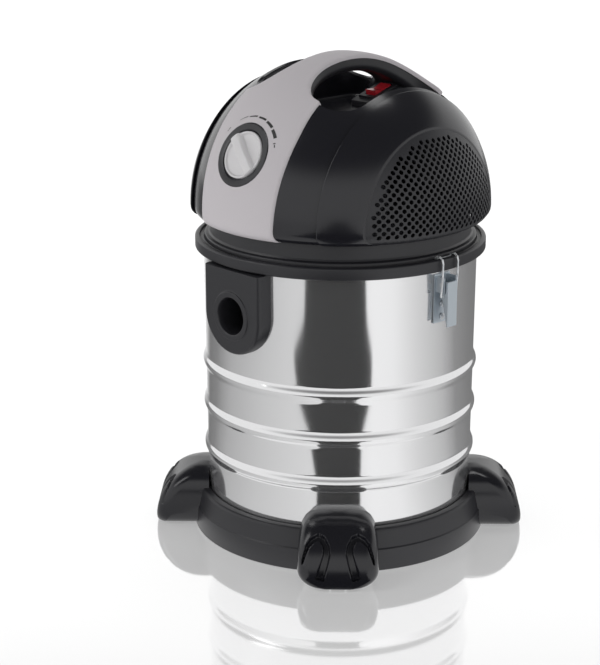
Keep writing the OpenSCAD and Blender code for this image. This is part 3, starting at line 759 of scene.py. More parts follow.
@dataclass
class Base:
    """Moulded ring under the drum with four petal-shaped feet.

    Attributes:
        reach: distance of a foot's outer face from the axis.
        half: half of a foot's width.
        tall: height of a foot at the drum.
        front_form: outline from the front, as height and half width.
        corner: radius of a foot's upright corners.
        shell: thickness of a foot's wall.
        caster_at: distance of a caster's swivel axis from the drum's axis.
        groove: path of the moulded groove, as distance from the middle, height and half width.
    """

    reach: float = 206.8
    half: float = 43.0
    tall: float = 68.3
    front_form: tuple[Point, ...] = (
        (18, 43), (30, 42.7), (42, 41.6), (52, 39.4), (58, 36.6), (62, 33), (65, 28), (67, 21), (68.3, 8))
    corner: float = 16.0
    shell: float = 2.6
    caster_at: float = 174.0
    groove: tuple[tuple[float, float, float], ...] = (
        (19.5, 12, 4.4), (14.5, 29, 4.0), (12, 38, 3.6), (12.5, 45, 3.1), (16, 51, 2.7), (21, 53, 2.4),
        (27, 50.5, 2.1), (32, 45, 1.7), (35, 37, 1.3), (37.5, 28, 0.8))

    def ring(self) -> Mesh:
        """The ring that the drum stands in, hollowed for the casters."""
        profile = rounded([(164.6, 2, 0.8), (163.7, 25.4, 0.7), (162.3, 26.8, 1.2), (158.6, 44, 2),
                           (157.6, 46.4, 1.5),
                           (156, 47.4, 0.8), (149.2, 47.4, 0.8), (149.2, 21.9, 0.4), (118, 21.9, 0.6),
                           (118, 17.5, 0.6),
                           (160.6, 17.5, 1), (161, 2, 0.6)], True, 4)
        out = Matrix.Translation((self.caster_at, 0, 0))
        wells = [pillar(28.5, -1, 36, at_corner(name) @ out) for name in CORNERS]
        return carved(turned(profile + profile[:1], 192), *wells)

    def width_at(self, z: float) -> float:
        """Half of a foot's width at a height."""
        if z < 18:
            return self.half - self.corner + self.corner * math.sqrt(1 - ((18 - z) / self.corner) ** 2)
        return table(eased(self.front_form), z)

    def groove_depth(self, t: float, z: float) -> float:
        """Depth of the foot's moulded groove at a place on its face."""
        here, best = Vector((abs(t), z)), 0.0
        for (x0, z0, w0), (x1, z1, w1) in zip(self.groove, self.groove[1:]):
            start, run = Vector((x0, z0)), Vector((x1 - x0, z1 - z0))
            along = (here - start).dot(run) / run.length_squared
            if along < 0 and z0 == self.groove[0][1]:
                continue
            along = min(1, max(0, along))
            away = (here - start - run * along).length
            best = max(best, smooth_step((lerp(w0, w1, along) - away) / 1.4 + 0.4))
        return 5.0 * best

    def foot(self) -> Mesh:
        """One foot cover along +X."""
        rows = [(z, self.reach) for z in spread(2, 8, 5)]
        rows += [(z, r) for r, z in arc(150, 8, self.reach - 150, self.tall - 8, 0, 90, 96)[1:]]
        columns, root = 190, 146.0

        def place(u: float, v: float) -> Vector:
            """Point on the foot: u runs round it, v up it."""
            row = min(len(rows) - 1, round(v * len(rows)))
            z, out = rows[row]
            if round(v * len(rows)) == len(rows):
                out = root + 0.2
            half = self.width_at(z)
            bend = min(self.corner, (out - root) * 0.75)
            side, rounding = 0.07, 0.15
            w, sign = (u, -1) if u < 0.5 else (1 - u, 1)
            if w < side:
                spot = (lerp(root, out - bend, w / side), sign * half)
            elif w < side + rounding:
                a = math.pi / 2 * (w - side) / rounding
                spot = (out - bend + bend * math.sin(a), sign * (half - bend + bend * math.cos(a)))
            else:
                spot = (out, sign * (half - bend) * (0.5 - w) / (0.5 - side - rounding))
            normal = Vector(((out - 150) / (self.reach - 150) ** 2, max(0, z - 8) / (self.tall - 8) ** 2))
            sink = normal.normalized() * (self.groove_depth(spot[1], z) if out > 156 else 0)
            return Vector((spot[0] - sink.x, spot[1], z - sink.y))

        return draped(columns, len(rows), place)

    def foot_lining(self, mesh: Mesh) -> Mesh:
        """Turns in the lower edge of a foot so that it shows its wall's thickness."""
        rim = [e for e in mesh.edges if e.is_boundary and max(v.co.z for v in e.verts) < 2.01]
        for depth, inset in ((0, self.shell), (14, 0.4)):
            grown = bmesh.ops.extrude_edge_only(mesh, edges=rim)["geom"]
            rim = [e for e in grown if isinstance(e, bmesh.types.BMEdge)]
            for vert in {v for e in rim for v in e.verts}:
                back = Vector((max(0.0, vert.co.x - 168), vert.co.y, 0)).normalized() * inset
                vert.co += Vector((-back.x, -back.y, depth))
        return mesh

    def build(self) -> None:
        """Makes and dresses the ring, the feet and their screws."""
        dressed(self.ring(), "base_ring_shell", SATIN_BLACK, "drum_body", "satin_black", ["base_ring"], 32)
        for name in CORNERS:
            mesh = moved(self.foot_lining(self.foot()), at_corner(name))
            dressed(mesh, f"foot_{name}", GLOSS_BLACK, "drum_body", "gloss_black", [f"foot_cover_{name}"], 50)
        refined("base_screws", SCREW_STEEL, "drum_body", "screw_steel")


def build_casters() -> None:
    """Casters: pressed fork, axle and wheel at each corner."""
    for name in CORNERS:
        refined(f"caster_fork_{name}", FORK_STEEL, f"caster_{name}", "fork_steel", 0.4)
        refined(f"caster_axle_{name}", SCREW_STEEL, f"caster_{name}", "screw_steel", 0.3)
        refined(f"caster_wheel_{name}", WHEEL_PLASTIC, f"wheel_{name}", "wheel_plastic", 0.4)


# ---------- latches ----------


@dataclass
class Latch:
    """Toggle latch: riveted base plate, folded lever and wire loop.

    Attributes:
        side: the side of the drum it is on.
    """

    side: Side

    def build(self) -> None:
        """Makes and dresses the latch."""
        side = self.side.value
        refined(f"latch_base_{side}", ZINC_PLATE, "drum_body", "zinc_plate", 0.3)
        refined(f"latch_pin_{side}", BRIGHT_WIRE, "drum_body", "bright_wire", 0.25)
        refined(f"latch_lever_{side}", ZINC_PLATE, f"lever_{side}", "zinc_plate", 0.35)
        refined(f"latch_wire_{side}", BRIGHT_WIRE, f"wire_{side}", "bright_wire", 0.1)


# ---------- head ----------


def dome_point(radius: float, x: float, turn: float, tuck: float = TUCK) -> Vector:
    """Point on the domed head at a distance x from its middle plane.

    Args:
        radius: radius of the dome.
        x: distance from the middle plane.
        turn: degrees from the top; 90 is the front edge, and 90 to 95 is the edge that turns under.
        tuck: radius of that turned edge.

    Returns:
        The point.
    """
    reach = math.copysign(1, turn)
    if abs(turn) <= 90:
        rho = math.sqrt(max(0.0, radius ** 2 - x * x))
        a = math.radians(turn)
        return Vector((x, -rho * math.sin(a), DOME_Z + rho * math.cos(a)))
    a = math.radians((abs(turn) - 90) * 18)
    level = radius - tuck + tuck * math.cos(a)
    return Vector((x, -reach * math.sqrt(max(0.0, level ** 2 - x * x)), DOME_Z - tuck * math.sin(a)))


def arm_between(a: Vector, b: Vector, t: float) -> Vector:
    """Arm of a's length, a fraction t of the turn from a to b."""
    whole = a.angle(b)
    return (a * math.sin((1 - t) * whole) + b * math.sin(t * whole)) / math.sin(whole)


def dial_place() -> Matrix:
    """Frame of the speed dial: Z along its axis from the dome's centre."""
    return Matrix.Translation((0, 0, DOME_Z)) @ Matrix.Rotation(math.radians(63.5), 4, "X")


@dataclass
class Dome:
    """Black dome with the hand recess, side covers and vent grilles.

    Attributes:
        core_r: radius of the dome.
        cover_r: radius of the side covers.
        grille_r: radius of the grilles.
        cover_x: inner edge of a side cover.
        grille_x: inner edge of a grille.
        recess: left, right, front and rear of the hand recess, and its corner radius.
        floor_z: height of the recess's floor.
        pitch: spacing of the vent holes, along a row and between rows.
        hole_r: radius of a vent hole.
    """

    core_r: float = 160.5
    cover_r: float = 164.0
    grille_r: float = 163.2
    cover_x: float = 96.0
    grille_x: float = 132.0
    recess: tuple[float, float, float, float, float] = (-58.0, 85.0, -84.0, 100.0, 33.0)
    floor_z: float = 470.0
    pitch: Point = (8.4, 8.5)
    hole_r: float = 2.3

    def recess_outline(self, grow: float) -> list[Point]:
        """Plan of the recess, grown outward; its points keep their order and number."""
        left, right, front, rear, corner = self.recess
        x0, x1, y0, y1, c = left - grow, right + grow, front - grow, rear + grow, max(2.0, corner + grow)
        sides = [(x1 - c, y1 - c, 0), (x0 + c, y1 - c, 90), (x0 + c, y0 + c, 180), (x1 - c, y0 + c, 270)]
        out: list[Point] = []
        for i, (cx, cy, start) in enumerate(sides):
            bend = arc(cx, cy, c, c, start, start + 90, 14)
            nx, ny, turn = sides[(i + 1) % 4]
            ahead = (nx + c * math.cos(math.radians(turn)), ny + c * math.sin(math.radians(turn)))
            (ax, ay), (bx, by) = bend[-1], ahead
            out += bend + [(lerp(ax, bx, t), lerp(ay, by, t)) for t in spread(0, 1, 22)[1:-1]]
        return out

    def shell(self) -> Mesh:
        """The dome from its lower edge up to the recess, and the recess itself."""
        rim = self.recess_outline(3)
        turns = [math.atan2(y - 8, x - 10) for x, y in rim]
        radius = self.core_r

        def level(r: float, z: float) -> list[Vector]:
            """Circle whose points lie in the directions of the recess outline's points."""
            return [Vector((r * math.cos(a), r * math.sin(a), z)) for a in turns]

        def height(x: float, y: float) -> float:
            """Height of the dome over a point."""
            return DOME_Z + math.sqrt(max(0.0, radius ** 2 - x * x - y * y))

        low = DOME_Z - TUCK + 0.2
        rings = [level(139, low), level(radius - TUCK, low)]
        rings += [level(r, z) for r, z in arc(radius - TUCK, DOME_Z, TUCK, TUCK - 0.2, -78, 0, 8)]
        base = level(radius, 0)
        crown = [Vector((x, y, height(x, y) - DOME_Z)) for x, y in rim]
        for t in spread(0, 1, 40)[1:]:
            rings.append([Vector((0, 0, DOME_Z)) + arm_between(b, q, t) for b, q in zip(base, crown)])
        for a in (22.5, 45, 67.5, 90):
            turn = math.radians(a)
            outline, lip = self.recess_outline(3 - 3 * math.sin(turn)), self.recess_outline(3)
            rings.append([Vector((x, y, height(*p) - 3 * (1 - math.cos(turn)) - 0.4))
                          for (x, y), p in zip(outline, lip)])
        walls = [(0.0, lambda z: z - 2), (-0.3, lambda z: max(self.floor_z + 6, lerp(z, self.floor_z, 0.5)))]
        for grow, depth in walls:
            rings.append([Vector((x, y, max(self.floor_z + 5.9, depth(height(*p) - 3))))
                          for (x, y), p in zip(self.recess_outline(grow), self.recess_outline(3))])
        for a in spread(0, 90, 5):
            turn = math.radians(a)
            rings.append([Vector((x, y, self.floor_z + 5 * (1 - math.sin(turn))))
                          for x, y in self.recess_outline(-0.6 - 5 * (1 - math.cos(turn)))])
        mesh = loft(rings, (False, True))
        to_dial = dial_place().inverted()
        seats = [(f, [to_dial @ v.co for v in f.verts]) for f in mesh.faces]
        behind = [f for f, spots in seats if any(p.z > 0 and p.xy.length < 30 for p in spots)]
        bmesh.ops.delete(mesh, geom=behind, context="FACES")
        return cut(cut(mesh, (100.5, 0, 0), (1, 0, 0)), (-100.5, 0, 0), (-1, 0, 0))

    def cover(self, side: Side) -> Mesh:
        """One side cover, a band over the dome beside the grille."""
        top, low = self.cover_r, self.core_r - 0.6
        section = rounded([(self.cover_x + 0.6, low), (self.cover_x, top, 2.4), (self.grille_x, top, 1.4),
                           (self.grille_x + 0.6, low)], False, 6)
        left, right = section[:8], section[8:]
        across = [(lerp(left[-1][0], right[0][0], t), top) for t in spread(0, 1, 8)[1:-1]]
        around = left + across + right
        rings = [[dome_point(r, x, turn) for x, r in around]
                 for turn in spread(-95, -90, 6) + spread(-90, 90, 90)[1:] + spread(90, 95, 6)[1:]]
        return moved(loft(rings, (True, True)), mirror_x(side))

    def grille(self, side: Side) -> Mesh:
        """One vent grille: a sheet of cells with staggered round holes, shaped to the dome."""
        px, pz = self.pitch[0] / 2, self.pitch[1] / 2
        corners = [(px, 0), (0, pz), (-px, 0), (0, -pz)]
        edge = [(lerp(a[0], b[0], t), lerp(a[1], b[1], t)) for a, b in zip(corners, corners[1:] + corners[:1])
                for t in (0, 0.29, 0.5, 0.71)]
        turns = [math.radians(22.5 * i) for i in range(16)]
        cells = []
        for radius in (self.hole_r, 0.001):
            start = [Vector((radius * math.cos(a), radius * math.sin(a), 0)) for a in turns]
            cell = loft([start, [Vector((*p, 0)) for p in edge]])
            bmesh.ops.remove_doubles(cell, verts=cell.verts, dist=0.01)
            data = bpy.data.meshes.new("vent_cell")
            cell.to_mesh(data)
            cell.free()
            cells.append(data)
        mesh = bmesh.new()
        first = 367.3
        for row in range(-4, 50):
            for col in range(-14, 15):
                y, z = (2 * col + row % 2) * px, first + row * pz
                if math.hypot(y, z - DOME_Z) > 102:
                    continue
                holed = row >= 0 and math.hypot(y, z - DOME_Z) < 90.5
                known = len(mesh.verts)
                mesh.from_mesh(cells[0 if holed else 1])
                mesh.verts.ensure_lookup_table()
                bmesh.ops.translate(mesh, vec=(y, z, 0), verts=mesh.verts[known:])
        for data in cells:
            bpy.data.meshes.remove(data)
        bmesh.ops.remove_doubles(mesh, verts=mesh.verts, dist=0.02)
        cut(mesh, (0, DOME_Z - TUCK + 0.1, 0), (0, -1, 0))
        for vert in mesh.verts:
            y, z = vert.co.x, vert.co.y
            drop = min(TUCK, DOME_Z - z)
            level = (math.sqrt(max(0.0, self.grille_r ** 2 - (z - DOME_Z) ** 2)) if z > DOME_Z
                     else self.grille_r - TUCK + math.sqrt(TUCK ** 2 - drop * drop))
            vert.co = (math.sqrt(max(1.0, level ** 2 - y * y)), y, z)
        cut(mesh, (self.grille_x - 1.5, 0, 0), (-1, 0, 0))
        middle = Vector((0, 0, DOME_Z))
        thickened(mesh, lambda p: p - (p - middle).normalized() * 2.2)
        return moved(mesh, mirror_x(side))

    def build(self) -> None:
        """Makes and dresses the dome's pieces."""
        dressed(self.shell(), "dome_top", GLOSS_BLACK, "head", "gloss_black", ["dome_shell"], 50)
        for side in Side:
            dressed(self.cover(side), f"cover_{side.value}", GLOSS_BLACK, "head", "gloss_black",
                    [f"side_cover_{side.value}"], 50)
            dressed(self.grille(side), f"grille_{side.value}", SATIN_BLACK, "head", "satin_black",
                    [f"vent_grille_{side.value}"], 40)


@dataclass
class Band:
    """Silver band up the front that narrows into the handle's top, with the grip under it.

    Attributes:
        radius: radius of the band's face.
        edge: radius of its rounded edges.
        narrow: half of the handle's width.
        wide: half of the width where the band meets the recess.
        front: turn from the top where the handle ends and where the recess begins, in degrees.
        rear: the same behind the top.
        power: how square the flare's curve is.
    """

    radius: float = 163.0
    edge: float = 2.4
    narrow: float = 18.0
    wide: float = 55.4
    front: Point = (7.6, 34.1)
    rear: Point = (-14.3, -38.6)
    power: float = 2.25

    def flare(self, ends: Point) -> list[Point]:
        """One side's outline from the recess's edge to the handle, as (x, turn in degrees)."""
        out = []
        for w in (78, 71, 64, 57, 50, 43, 36, 29, 22, 15, 8, 0):
            a = math.radians(w)
            x = self.narrow + (self.wide - self.narrow) * (1 - math.cos(a) ** (2 / self.power))
            out.append((x, lerp(ends[0], ends[1], math.sin(a) ** (2 / self.power))))
        return out

    def outline(self) -> list[Point]:
        """Right side's outline from the lower front edge over the top, as (x, length along the dome)."""
        half = [(361, 53.5), (440, 57), (465, 57.5), (494, 55.4)]
        corners: list[tuple[float, ...]] = []
        for turn in spread(95, 90, 5) + spread(90, 37.5, 24)[1:]:
            corners.append((table(half, DOME_Z + 152.7 * math.cos(math.radians(turn))), turn))
        corners.append((self.wide, self.front[1], 3.6))
        corners += self.flare(self.front)
        corners += [(self.narrow, turn) for turn in spread(self.front[0], self.rear[0], 10)[1:-1]]
        corners += reversed(self.flare(self.rear))
        corners.append((self.wide, self.rear[1], 3.6))
        corners.append((self.wide, self.rear[1] - 3))
        scale = self.radius * math.pi / 180
        return rounded([(c[0], -c[1] * scale, *c[2:]) for c in corners], False, 7)

    def sections(self, steps: int = 5) -> list[list[Vector]]:
        """Closed sections of the band's plate, one for each outline point."""
        line, scale = self.outline(), self.radius * math.pi / 180
        sections = []
        for i, here in enumerate(line):
            back, ahead = Vector(line[max(i - 1, 0)]), Vector(line[min(i + 1, len(line) - 1)])
            run = (ahead - back).normalized()
            normal = Vector((run.y, -run.x))
            arm = []
            for a in spread(90, 0, steps):
                turn = math.radians(a)
                spot = Vector(here) - normal * self.edge * (1 - math.cos(turn))
                arm.append((spot.x, -spot.y / scale, self.radius - self.edge * (1 - math.sin(turn))))
            arm.append((here[0], -here[1] / scale, self.radius - 4.8))
            inner_x, inner_turn = arm[0][0], arm[0][1]
            over = [(inner_x * t, inner_turn, self.radius) for t in spread(-1, 1, 14)[1:-1]]
            under = [(here[0] * t, -here[1] / scale, self.radius - 4.8) for t in (0.6, 0, -0.6)]
            left = [(-x, turn, r) for x, turn, r in reversed(arm)]
            sections.append([dome_point(r, x, turn) for x, turn, r in left + over + arm + under])
        return sections

    def grip(self) -> Mesh:
        """Grip under the band: an arch with round lower edges that widens into the recess's ends."""
        flare = [(x, turn) for x, turn in self.flare(self.front) if x < 50]
        rear = [(x, turn) for x, turn in self.flare(self.rear) if x < 50]
        stations = flare + [(self.narrow, t) for t in spread(self.front[0], self.rear[0],
                                                             12)[1:-1]] + rear[::-1]
        stations = [(stations[0][0] + 3, 35.5)] + stations + [(stations[-1][0] + 3, -40.5)]
        rings = []
        for half, turn in stations:
            x = half - 1.4
            section = rounded([(-x, 160.4), (-x, 143, 9), (x, 143, 9), (x, 160.4)], False, 8)
            section += [(x * t, 160.4) for t in (0.5, 0, -0.5)]
            rings.append([dome_point(r, across, turn) for across, r in section])
        return loft(rings, (True, True))

    def build(self) -> None:
        """Makes and dresses the band and the grip."""
        hole = pillar(34.2, 140, 175, dial_place())
        band = carved(loft(self.sections(), (True, True)), hole)
        dressed(band, "band_plate", SILVER_PAINT, "head", "silver_paint", ["silver_band"], 50)
        dressed(self.grip(), "grip_arch", SATIN_BLACK, "head", "satin_black", ["handle_grip"], 50)


@dataclass
class Dial:
    """Speed dial: bezel ring, knob with a raised bar, and the printed scale round it.

    Attributes:
        bezel_r: outer radius of the bezel.
        knob_r: radius of the knob.
        bar_half: half of the bar's width.
        bar_turn: direction of the bar, in degrees from up.
    """

    bezel_r: float = 35.0
    knob_r: float = 25.6
    bar_half: float = 4.4
    bar_turn: float = -48.0

    def bezel(self) -> Mesh:
        """Cup and ring that the knob turns in."""
        profile = rounded([(self.bezel_r - 0.9, 150), (self.bezel_r - 0.9, 157.4), (self.bezel_r, 157.6, 0.3),
                           (self.bezel_r, 159.4, 0.6), (self.bezel_r - 1.4, 159.9, 0.6),
                           (self.knob_r + 2.2, 159.5, 1.2),
                           (self.knob_r + 0.5, 158.2, 0.8), (self.knob_r + 0.5, 152), (3.1, 152),
                           (3.1, 150)], False, 4)
        return moved(turned(profile + profile[:1], 96), dial_place())

    def height(self, x: float, y: float) -> float:
        """Height of the knob's face: scooped on both sides of a raised bar, with a raised edge."""
        across = abs(x)
        radius = math.hypot(x, y)
        rim = smooth_step((radius - self.knob_r + 3.4) / 1.4)
        bar = 1 - smooth_step((across - self.bar_half) / 3.2)
        crown = 165.2 - 2.2 * (y / self.knob_r) ** 2
        scoop = 157.2 + 1.6 * (across / self.knob_r)
        base = max(scoop, lerp(scoop, 160.4, rim))
        return lerp(base, crown, bar)

    def knob(self) -> Mesh:
        """The knob with its stem."""

        def ring(radius: float, rise: Callable[[float, float], float]) -> list[Vector]:
            """Ring of points whose height depends on their place."""
            spots = [(radius * math.cos(a), radius * math.sin(a)) for a in self.turns()]
            return [Vector((x, y, rise(x, y))) for x, y in spots]

        stem = ((3.0, 136.0), (3.0, 152.4), (25.1, 152.4), (self.knob_r, 153.0))
        rings = [ring(radius, lambda x, y: z) for radius, z in stem]
        for inset, sink in ((0, 1.4), (0.25, 0.6), (0.8, 0.15), (1.4, 0)):
            rings.append(ring(self.knob_r - inset, lambda x, y: self.height(x, y) - sink))
        rings += [ring(radius, self.height) for radius in spread(self.knob_r - 1.8, 0.4, 44)]
        turn = Matrix.Rotation(math.radians(-self.bar_turn), 4, "Z")
        return moved(loft(rings, (True, True)), dial_place() @ turn)

    def turns(self) -> list[float]:
        """Directions of the knob's ring points."""
        return [math.tau * i / 144 for i in range(144)]

    def printed(self, from_deg: float, to_deg: float, low: Point, high: Point, lift: float = 0.12) -> Mesh:
        """Strip of print on the band along an arc round the dial.

        Args:
            from_deg: where it starts, in degrees clockwise from up.
            to_deg: where it ends.
            low: inner and outer radius at the start.
            high: inner and outer radius at the end.
            lift: how far it stands off the paint.

        Returns:
            The strip.
        """

        def place(u: float, v: float) -> Vector:
            """Point of the strip on the band's face."""
            a = math.radians(lerp(from_deg, to_deg, u))
            r = lerp(lerp(low[0], high[0], u), lerp(low[1], high[1], u), v)
            x, y = r * math.sin(a), r * math.cos(a)
            return dial_place() @ Vector((x, y, math.sqrt((163 + lift) ** 2 - x * x - y * y)))

        return draped(24, 2, place)

    def scale(self) -> Mesh:
        """Five marks that grow from slow to fast, with a small and a large end mark."""
        marks = []
        for i in range(5):
            start = -33 + i * 18.6
            thick = 0.6 + i * 0.85
            low, high = (42.0 - thick / 3, 42.0 + thick / 2), (42.4 - thick / 3, 42.8 + thick / 2)
            marks.append(self.printed(start, start + 15.0, low, high))
        for turn, size in ((-56, 0.8), (66, 1.3)):
            reach = (41.5 - size, 41.5 + size)
            marks.append(self.printed(turn - 2.6, turn - 1.2, reach, reach))
            marks.append(self.printed(turn, turn + 4.4, (41.2, 42.2), (41.2, 42.2)))
        return joined(*marks)

    def build(self) -> None:
        """Makes and dresses the dial."""
        dressed(self.bezel(), "bezel_ring", GLOSS_BLACK, "head", "satin_black", ["dial_bezel"], 40)
        dressed(self.knob(), "dial_knob", KNOB_SILVER, "dial", "knob_silver", ["speed_dial"], 60)
        dressed(self.scale(), "dial_scale", PRINT_INK, "head", "satin_black")


@dataclass
class Switch:
    """Rocker switch on a sloping pod in the hand recess.

    Attributes:
        y: distance of the rocker's middle behind the axis.
        z: its height.
        tilt: slope of the pod's face, in degrees.
    """

    y: float = 58.0
    z: float = 486.0
    tilt: float = 18.0

    def place(self) -> Matrix:
        """Frame of the switch: Z out of its face."""
        return Matrix.Translation((0, self.y, self.z)) @ Matrix.Rotation(math.radians(self.tilt), 4, "X")

    def build(self) -> None:
        """Makes and dresses the pod; the switch itself is softened CAD."""
        pod = block((-17, self.y - 26, 466), (17, self.y + 34, 505), 2.2, 4)
        top = self.place() @ Vector((0, 0, -2))
        normal = self.place().to_3x3() @ Vector((0, 0, 1))
        cut(pod, top, normal)
        bmesh.ops.holes_fill(pod, edges=[e for e in pod.edges if e.is_boundary], sides=0)
        well = moved(block((-11.2, -17.2, -16), (11.2, 17.2, 10), 0.8), self.place())
        dressed(carved(pod, well), "switch_pod", SATIN_BLACK, "head", "satin_black", (), 40)
        refined("switch_housing", SATIN_BLACK, "head", "satin_black", 0.4)
        refined("power_rocker", RED_ROCKER, "rocker", "red_rocker", 0.5)


def build_flange() -> None:
    """Ring of the head that closes the drum, with its neck and motor deck."""
    profile = rounded([(26, 322.5, 0.5), (143, 322.5, 0.5), (143, 304, 0.8), (146, 304, 0.8),
                       (146, 322.2), (147.2, 322.2),
                       (147.2, 324.8), (151.8, 324.8), (151.8, 322.2), (157.5, 322.2, 1.2),
                       (159.5, 323.2, 1.6),
                       (159.5, 334.6, 2.2), (157.0, 335.8, 1.2), (154.3, 335.8, 1), (154, 332.6, 0.8),
                       (149.4, 332.6, 1),
                       (149, 338.2, 1.6), (144.6, 338.6, 1), (143.4, 341, 1.5), (141.5, 357.3),
                       (138.5, 357.3),
                       (138.5, 327, 1), (26, 327, 0.5)], True, 4)
    dressed(turned(profile + profile[:1], 192), "head_ring", SATIN_BLACK, "head", "satin_black",
            ["head_flange"], 32)


def build_insides() -> None:
    """Softened copies of the parts that show with the head lifted off, and of the small fittings."""
    rows = [
        ("head_seal", SEAL_RUBBER, "head", "seal_rubber", 0.3),
        ("cord_gland", SEAL_RUBBER, "head", "seal_rubber", 0.5),
        ("speed_control", BOARD, "head", "control_board", 0.2),
        ("fan_housing", MOTOR_CASE, "head", "motor_case", 0.6),
        ("motor_housing", MOTOR_CASE, "head", "motor_case", 0.6),
        ("stator", COPPER, "head", "copper_winding", 0.3),
        ("motor_shaft", SHAFT_STEEL, "rotor", "shaft_steel", 0.3),
        ("armature", COPPER, "rotor", "copper_winding", 0.3),
        ("impeller", IMPELLER_METAL, "rotor", "impeller_metal", 0.2),
        ("float_cage", DARK_MOULDING, "head", "dark_moulding", 0.4),
        ("float_ball", FLOAT_WHITE, "float", "float_white", 0.2),
        ("filter_sleeve", FILTER_PAPER, "head", "filter_paper", 0.4),
        ("filter_cap", DARK_MOULDING, "head", "dark_moulding", 0.8),
        ("head_screws", SCREW_STEEL, "head", "screw_steel", 0.3),
    ]
    for node, finish, body, slot, edge in rows:
        refined(node, finish, body, slot, edge)
    refined("latch_rivets", BRIGHT_WIRE, "drum_body", "bright_wire", 0.5)


# ---------- stage ----------


def build_camera() -> None:
    """Camera in front and to the right, a little above the machine."""
    data = bpy.data.cameras.new("camera")
    data.lens, data.sensor_width = 97.44, 36
    data.clip_end = 100
    camera = bpy.data.objects.new("camera", data)
    down, aside = 0.296652, -0.023009
    forward = Vector((math.sin(aside) * math.cos(down), math.cos(aside) * math.cos(down), -math.sin(down)))
    forward.rotate(Matrix.Rotation(math.radians(45), 3, "Z"))
    turn = forward.to_track_quat("-Z", "Y")
    camera.matrix_world = Matrix.Translation((1.36143, -1.36143, 0.8078)) @ turn.to_matrix().to_4x4()
    bpy.context.scene.collection.objects.link(camera)
    bpy.context.scene.camera = camera


def stage_piece(mesh: Mesh, name: str, material: bpy.types.Material) -> bpy.types.Object:
    """A piece of the studio, in metres."""
    data = bpy.data.meshes.new(name)
    mesh.to_mesh(data)
    mesh.free()
    data.materials.append(material)
    piece = bpy.data.objects.new(name, data)
    bpy.context.scene.collection.objects.link(piece)
    return piece


def plain(name: str, colour: Rgb, rough: float, glow: float = 0.0) -> bpy.types.Material:
    """A plain studio material, glowing if asked."""
    material = bpy.data.materials.new(name)
    material.use_nodes = True
    shader = material.node_tree.nodes["Principled BSDF"]
    shader.inputs["Base Color"].default_value = (*colour, 1)
    shader.inputs["Roughness"].default_value = rough
    if glow:
        shader.inputs["Emission Color"].default_value = (*colour, 1)
        shader.inputs["Emission Strength"].default_value = glow
    return material


def build_world() -> None:
    """White to the eye; to the object, bright near the horizon and dim overhead."""
    world = bpy.data.worlds.new("studio")
    world.use_nodes = True
    tree = world.node_tree
    sky = tree.nodes["Background"]
    place, split = tree.nodes.new("ShaderNodeTexCoord"), tree.nodes.new("ShaderNodeSeparateXYZ")
    rise, path = tree.nodes.new("ShaderNodeMapRange"), tree.nodes.new("ShaderNodeLightPath")
    most = tree.nodes.new("ShaderNodeMath")
    most.operation = "MAXIMUM"
    rise.interpolation_type = "SMOOTHSTEP"
    for label, value in (("From Min", 0.40), ("From Max", 0.64), ("To Min", 1.0), ("To Max", 0.10)):
        rise.inputs[label].default_value = value
    tree.links.new(place.outputs["Generated"], split.inputs["Vector"])
    tree.links.new(split.outputs["Z"], rise.inputs["Value"])
    tree.links.new(rise.outputs["Result"], most.inputs[0])
    tree.links.new(path.outputs["Is Camera Ray"], most.inputs[1])
    tree.links.new(most.outputs[0], sky.inputs["Color"])
    bpy.context.scene.world = world


def floor_glow() -> bpy.types.Material:
    """Glow whose strength changes with the direction from the machine, as light falls off round a set."""
    material = plain("floor_glow", grey(0), 1.0)
    tree = material.node_tree
    shader = tree.nodes["Principled BSDF"]
    place, sweep = tree.nodes.new("ShaderNodeTexCoord"), tree.nodes.new("ShaderNodeTexGradient")
    turn, ramp = tree.nodes.new("ShaderNodeMapping"), tree.nodes.new("ShaderNodeValToRGB")
    sweep.gradient_type = "RADIAL"
    turn.inputs["Rotation"].default_value = (0, 0, math.radians(45))
    stops = [(-180, 1.0), (-152, 0.75), (-136, 0.16), (-118, 0.22), (-96, 0.46), (-60, 0.66), (-28, 0.80),
             (24, 1.1),
             (42, 1.05), (62, 0.80), (88, 0.56), (106, 0.28), (130, 0.20), (158, 0.17), (180, 1.0)]
    while len(ramp.color_ramp.elements) < len(stops):
        ramp.color_ramp.elements.new(0.5)
    for element, (offset, value) in zip(ramp.color_ramp.elements, stops):
        element.position = (offset + 180) / 360
        element.color = (value, value, value, 1)
    tree.links.new(place.outputs["Object"], turn.inputs["Vector"])
    tree.links.new(turn.outputs["Vector"], sweep.inputs["Vector"])
    tree.links.new(sweep.outputs["Fac"], ramp.inputs["Fac"])
    tree.links.new(ramp.outputs["Color"], shader.inputs["Emission Color"])
    shader.inputs["Emission Strength"].default_value = 1.0
    return material


def floor_card(name: str, material: bpy.types.Material, rows: Sequence[tuple[float, ...]],
               lift: float) -> None:
    """Card on the floor that only shows in reflections.

    Args:
        name: the card's name.
        material: its material.
        rows: distance from the axis, and first and last direction from the camera's, in degrees.
        lift: its height, just under the floor, in metres.
    """

    def place(u: float, v: float) -> Vector:
        """Point of the card: v outward, u across."""
        away = lerp(rows[0][0], rows[-1][0], v)
        low = table([(r[0], r[1]) for r in rows], away)
        high = table([(r[0], r[2]) for r in rows], away)
        a = math.radians(-45 + lerp(low, high, u))
        return Vector((away * math.cos(a), away * math.sin(a), lift))

    card = stage_piece(draped(64, 48, place), name, material)
    card.visible_camera = card.visible_diffuse = card.visible_shadow = False


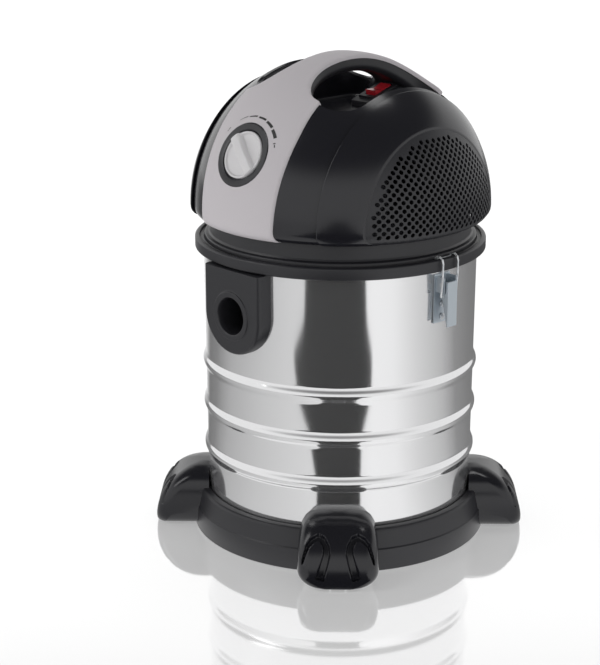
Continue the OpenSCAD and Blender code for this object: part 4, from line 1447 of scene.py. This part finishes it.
def softbox(name: str, turn: float, rise: float, size: Point, power: float, away: float = 2.4) -> None:
    """Rectangular light that faces the machine.

    Args:
        name: the light's name.
        turn: direction from the axis, in degrees from the camera's.
        rise: elevation in degrees.
        size: width and height in metres.
        power: its power in watts.
        away: distance from the dome, in metres.
    """
    data = bpy.data.lights.new(name, "AREA")
    data.shape, data.size, data.size_y, data.energy = "RECTANGLE", size[0], size[1], power
    light = bpy.data.objects.new(name, data)
    a, e = math.radians(-45 + turn), math.radians(rise)
    out = Vector((math.cos(a) * math.cos(e), math.sin(a) * math.cos(e), math.sin(e)))
    place = Matrix.Translation(out * away + Vector((0, 0, 0.35)))
    light.matrix_world = place @ out.to_track_quat("Z", "Y").to_matrix().to_4x4()
    bpy.context.scene.collection.objects.link(light)


def build_stage() -> None:
    """White studio: glossy bright floor, cards on it and soft lights."""
    bpy.context.scene.view_settings.view_transform = "Standard"
    build_world()
    floor = bmesh.new()
    bmesh.ops.create_grid(floor, x_segments=1, y_segments=1, size=25, matrix=Matrix.Translation((0, 0,
                                                                                                 -0.0003)))
    gloss = plain("studio_floor", grey(0.88), 0.05, 0.37)
    gloss.node_tree.nodes["Principled BSDF"].inputs["Metallic"].default_value = 0.5
    stage_piece(floor, "studio_floor", gloss).visible_glossy = False
    floor_card("glow_card", floor_glow(), [(0.2, -180, 180), (5.0, -180, 180)], -0.001)
    black = plain("dark_card", grey(0), 1.0)
    black.node_tree.nodes["Principled BSDF"].inputs["Specular IOR Level"].default_value = 0
    floor_card("dark_card", black, [
        (0.215, -13, 13), (0.40, -15, 15), (0.44, -19, 19), (0.53, -19.5, 15), (0.56, -25, 19.5),
        (0.615, -27, 18), (0.755, -35, 28), (0.78, -39, 32),
        (0.82, -38, 29), (0.86, -36, 25), (0.94, -28, 22), (1.075, -27, 20), (1.35, -27, 20),
        (1.9, -18, 14), (3.2, -9, 7),
        (8, -5, 4)], -0.0006)
    softbox("key", -75, 40, (0.8, 1.4), 9)
    softbox("top", 140, 72, (1.2, 0.6), 8)


def main() -> None:
    """Builds the machine, the studio and the camera."""
    logging.basicConfig(level=logging.INFO, format="%(name)s %(message)s")
    build_camera()
    Drum().build()
    Base().build()
    build_casters()
    for side in Side:
        Latch(side).build()
    build_flange()
    Dome().build()
    Band().build()
    Dial().build()
    Switch().build()
    build_insides()
    build_stage()


if __name__ == "__main__":
    main()
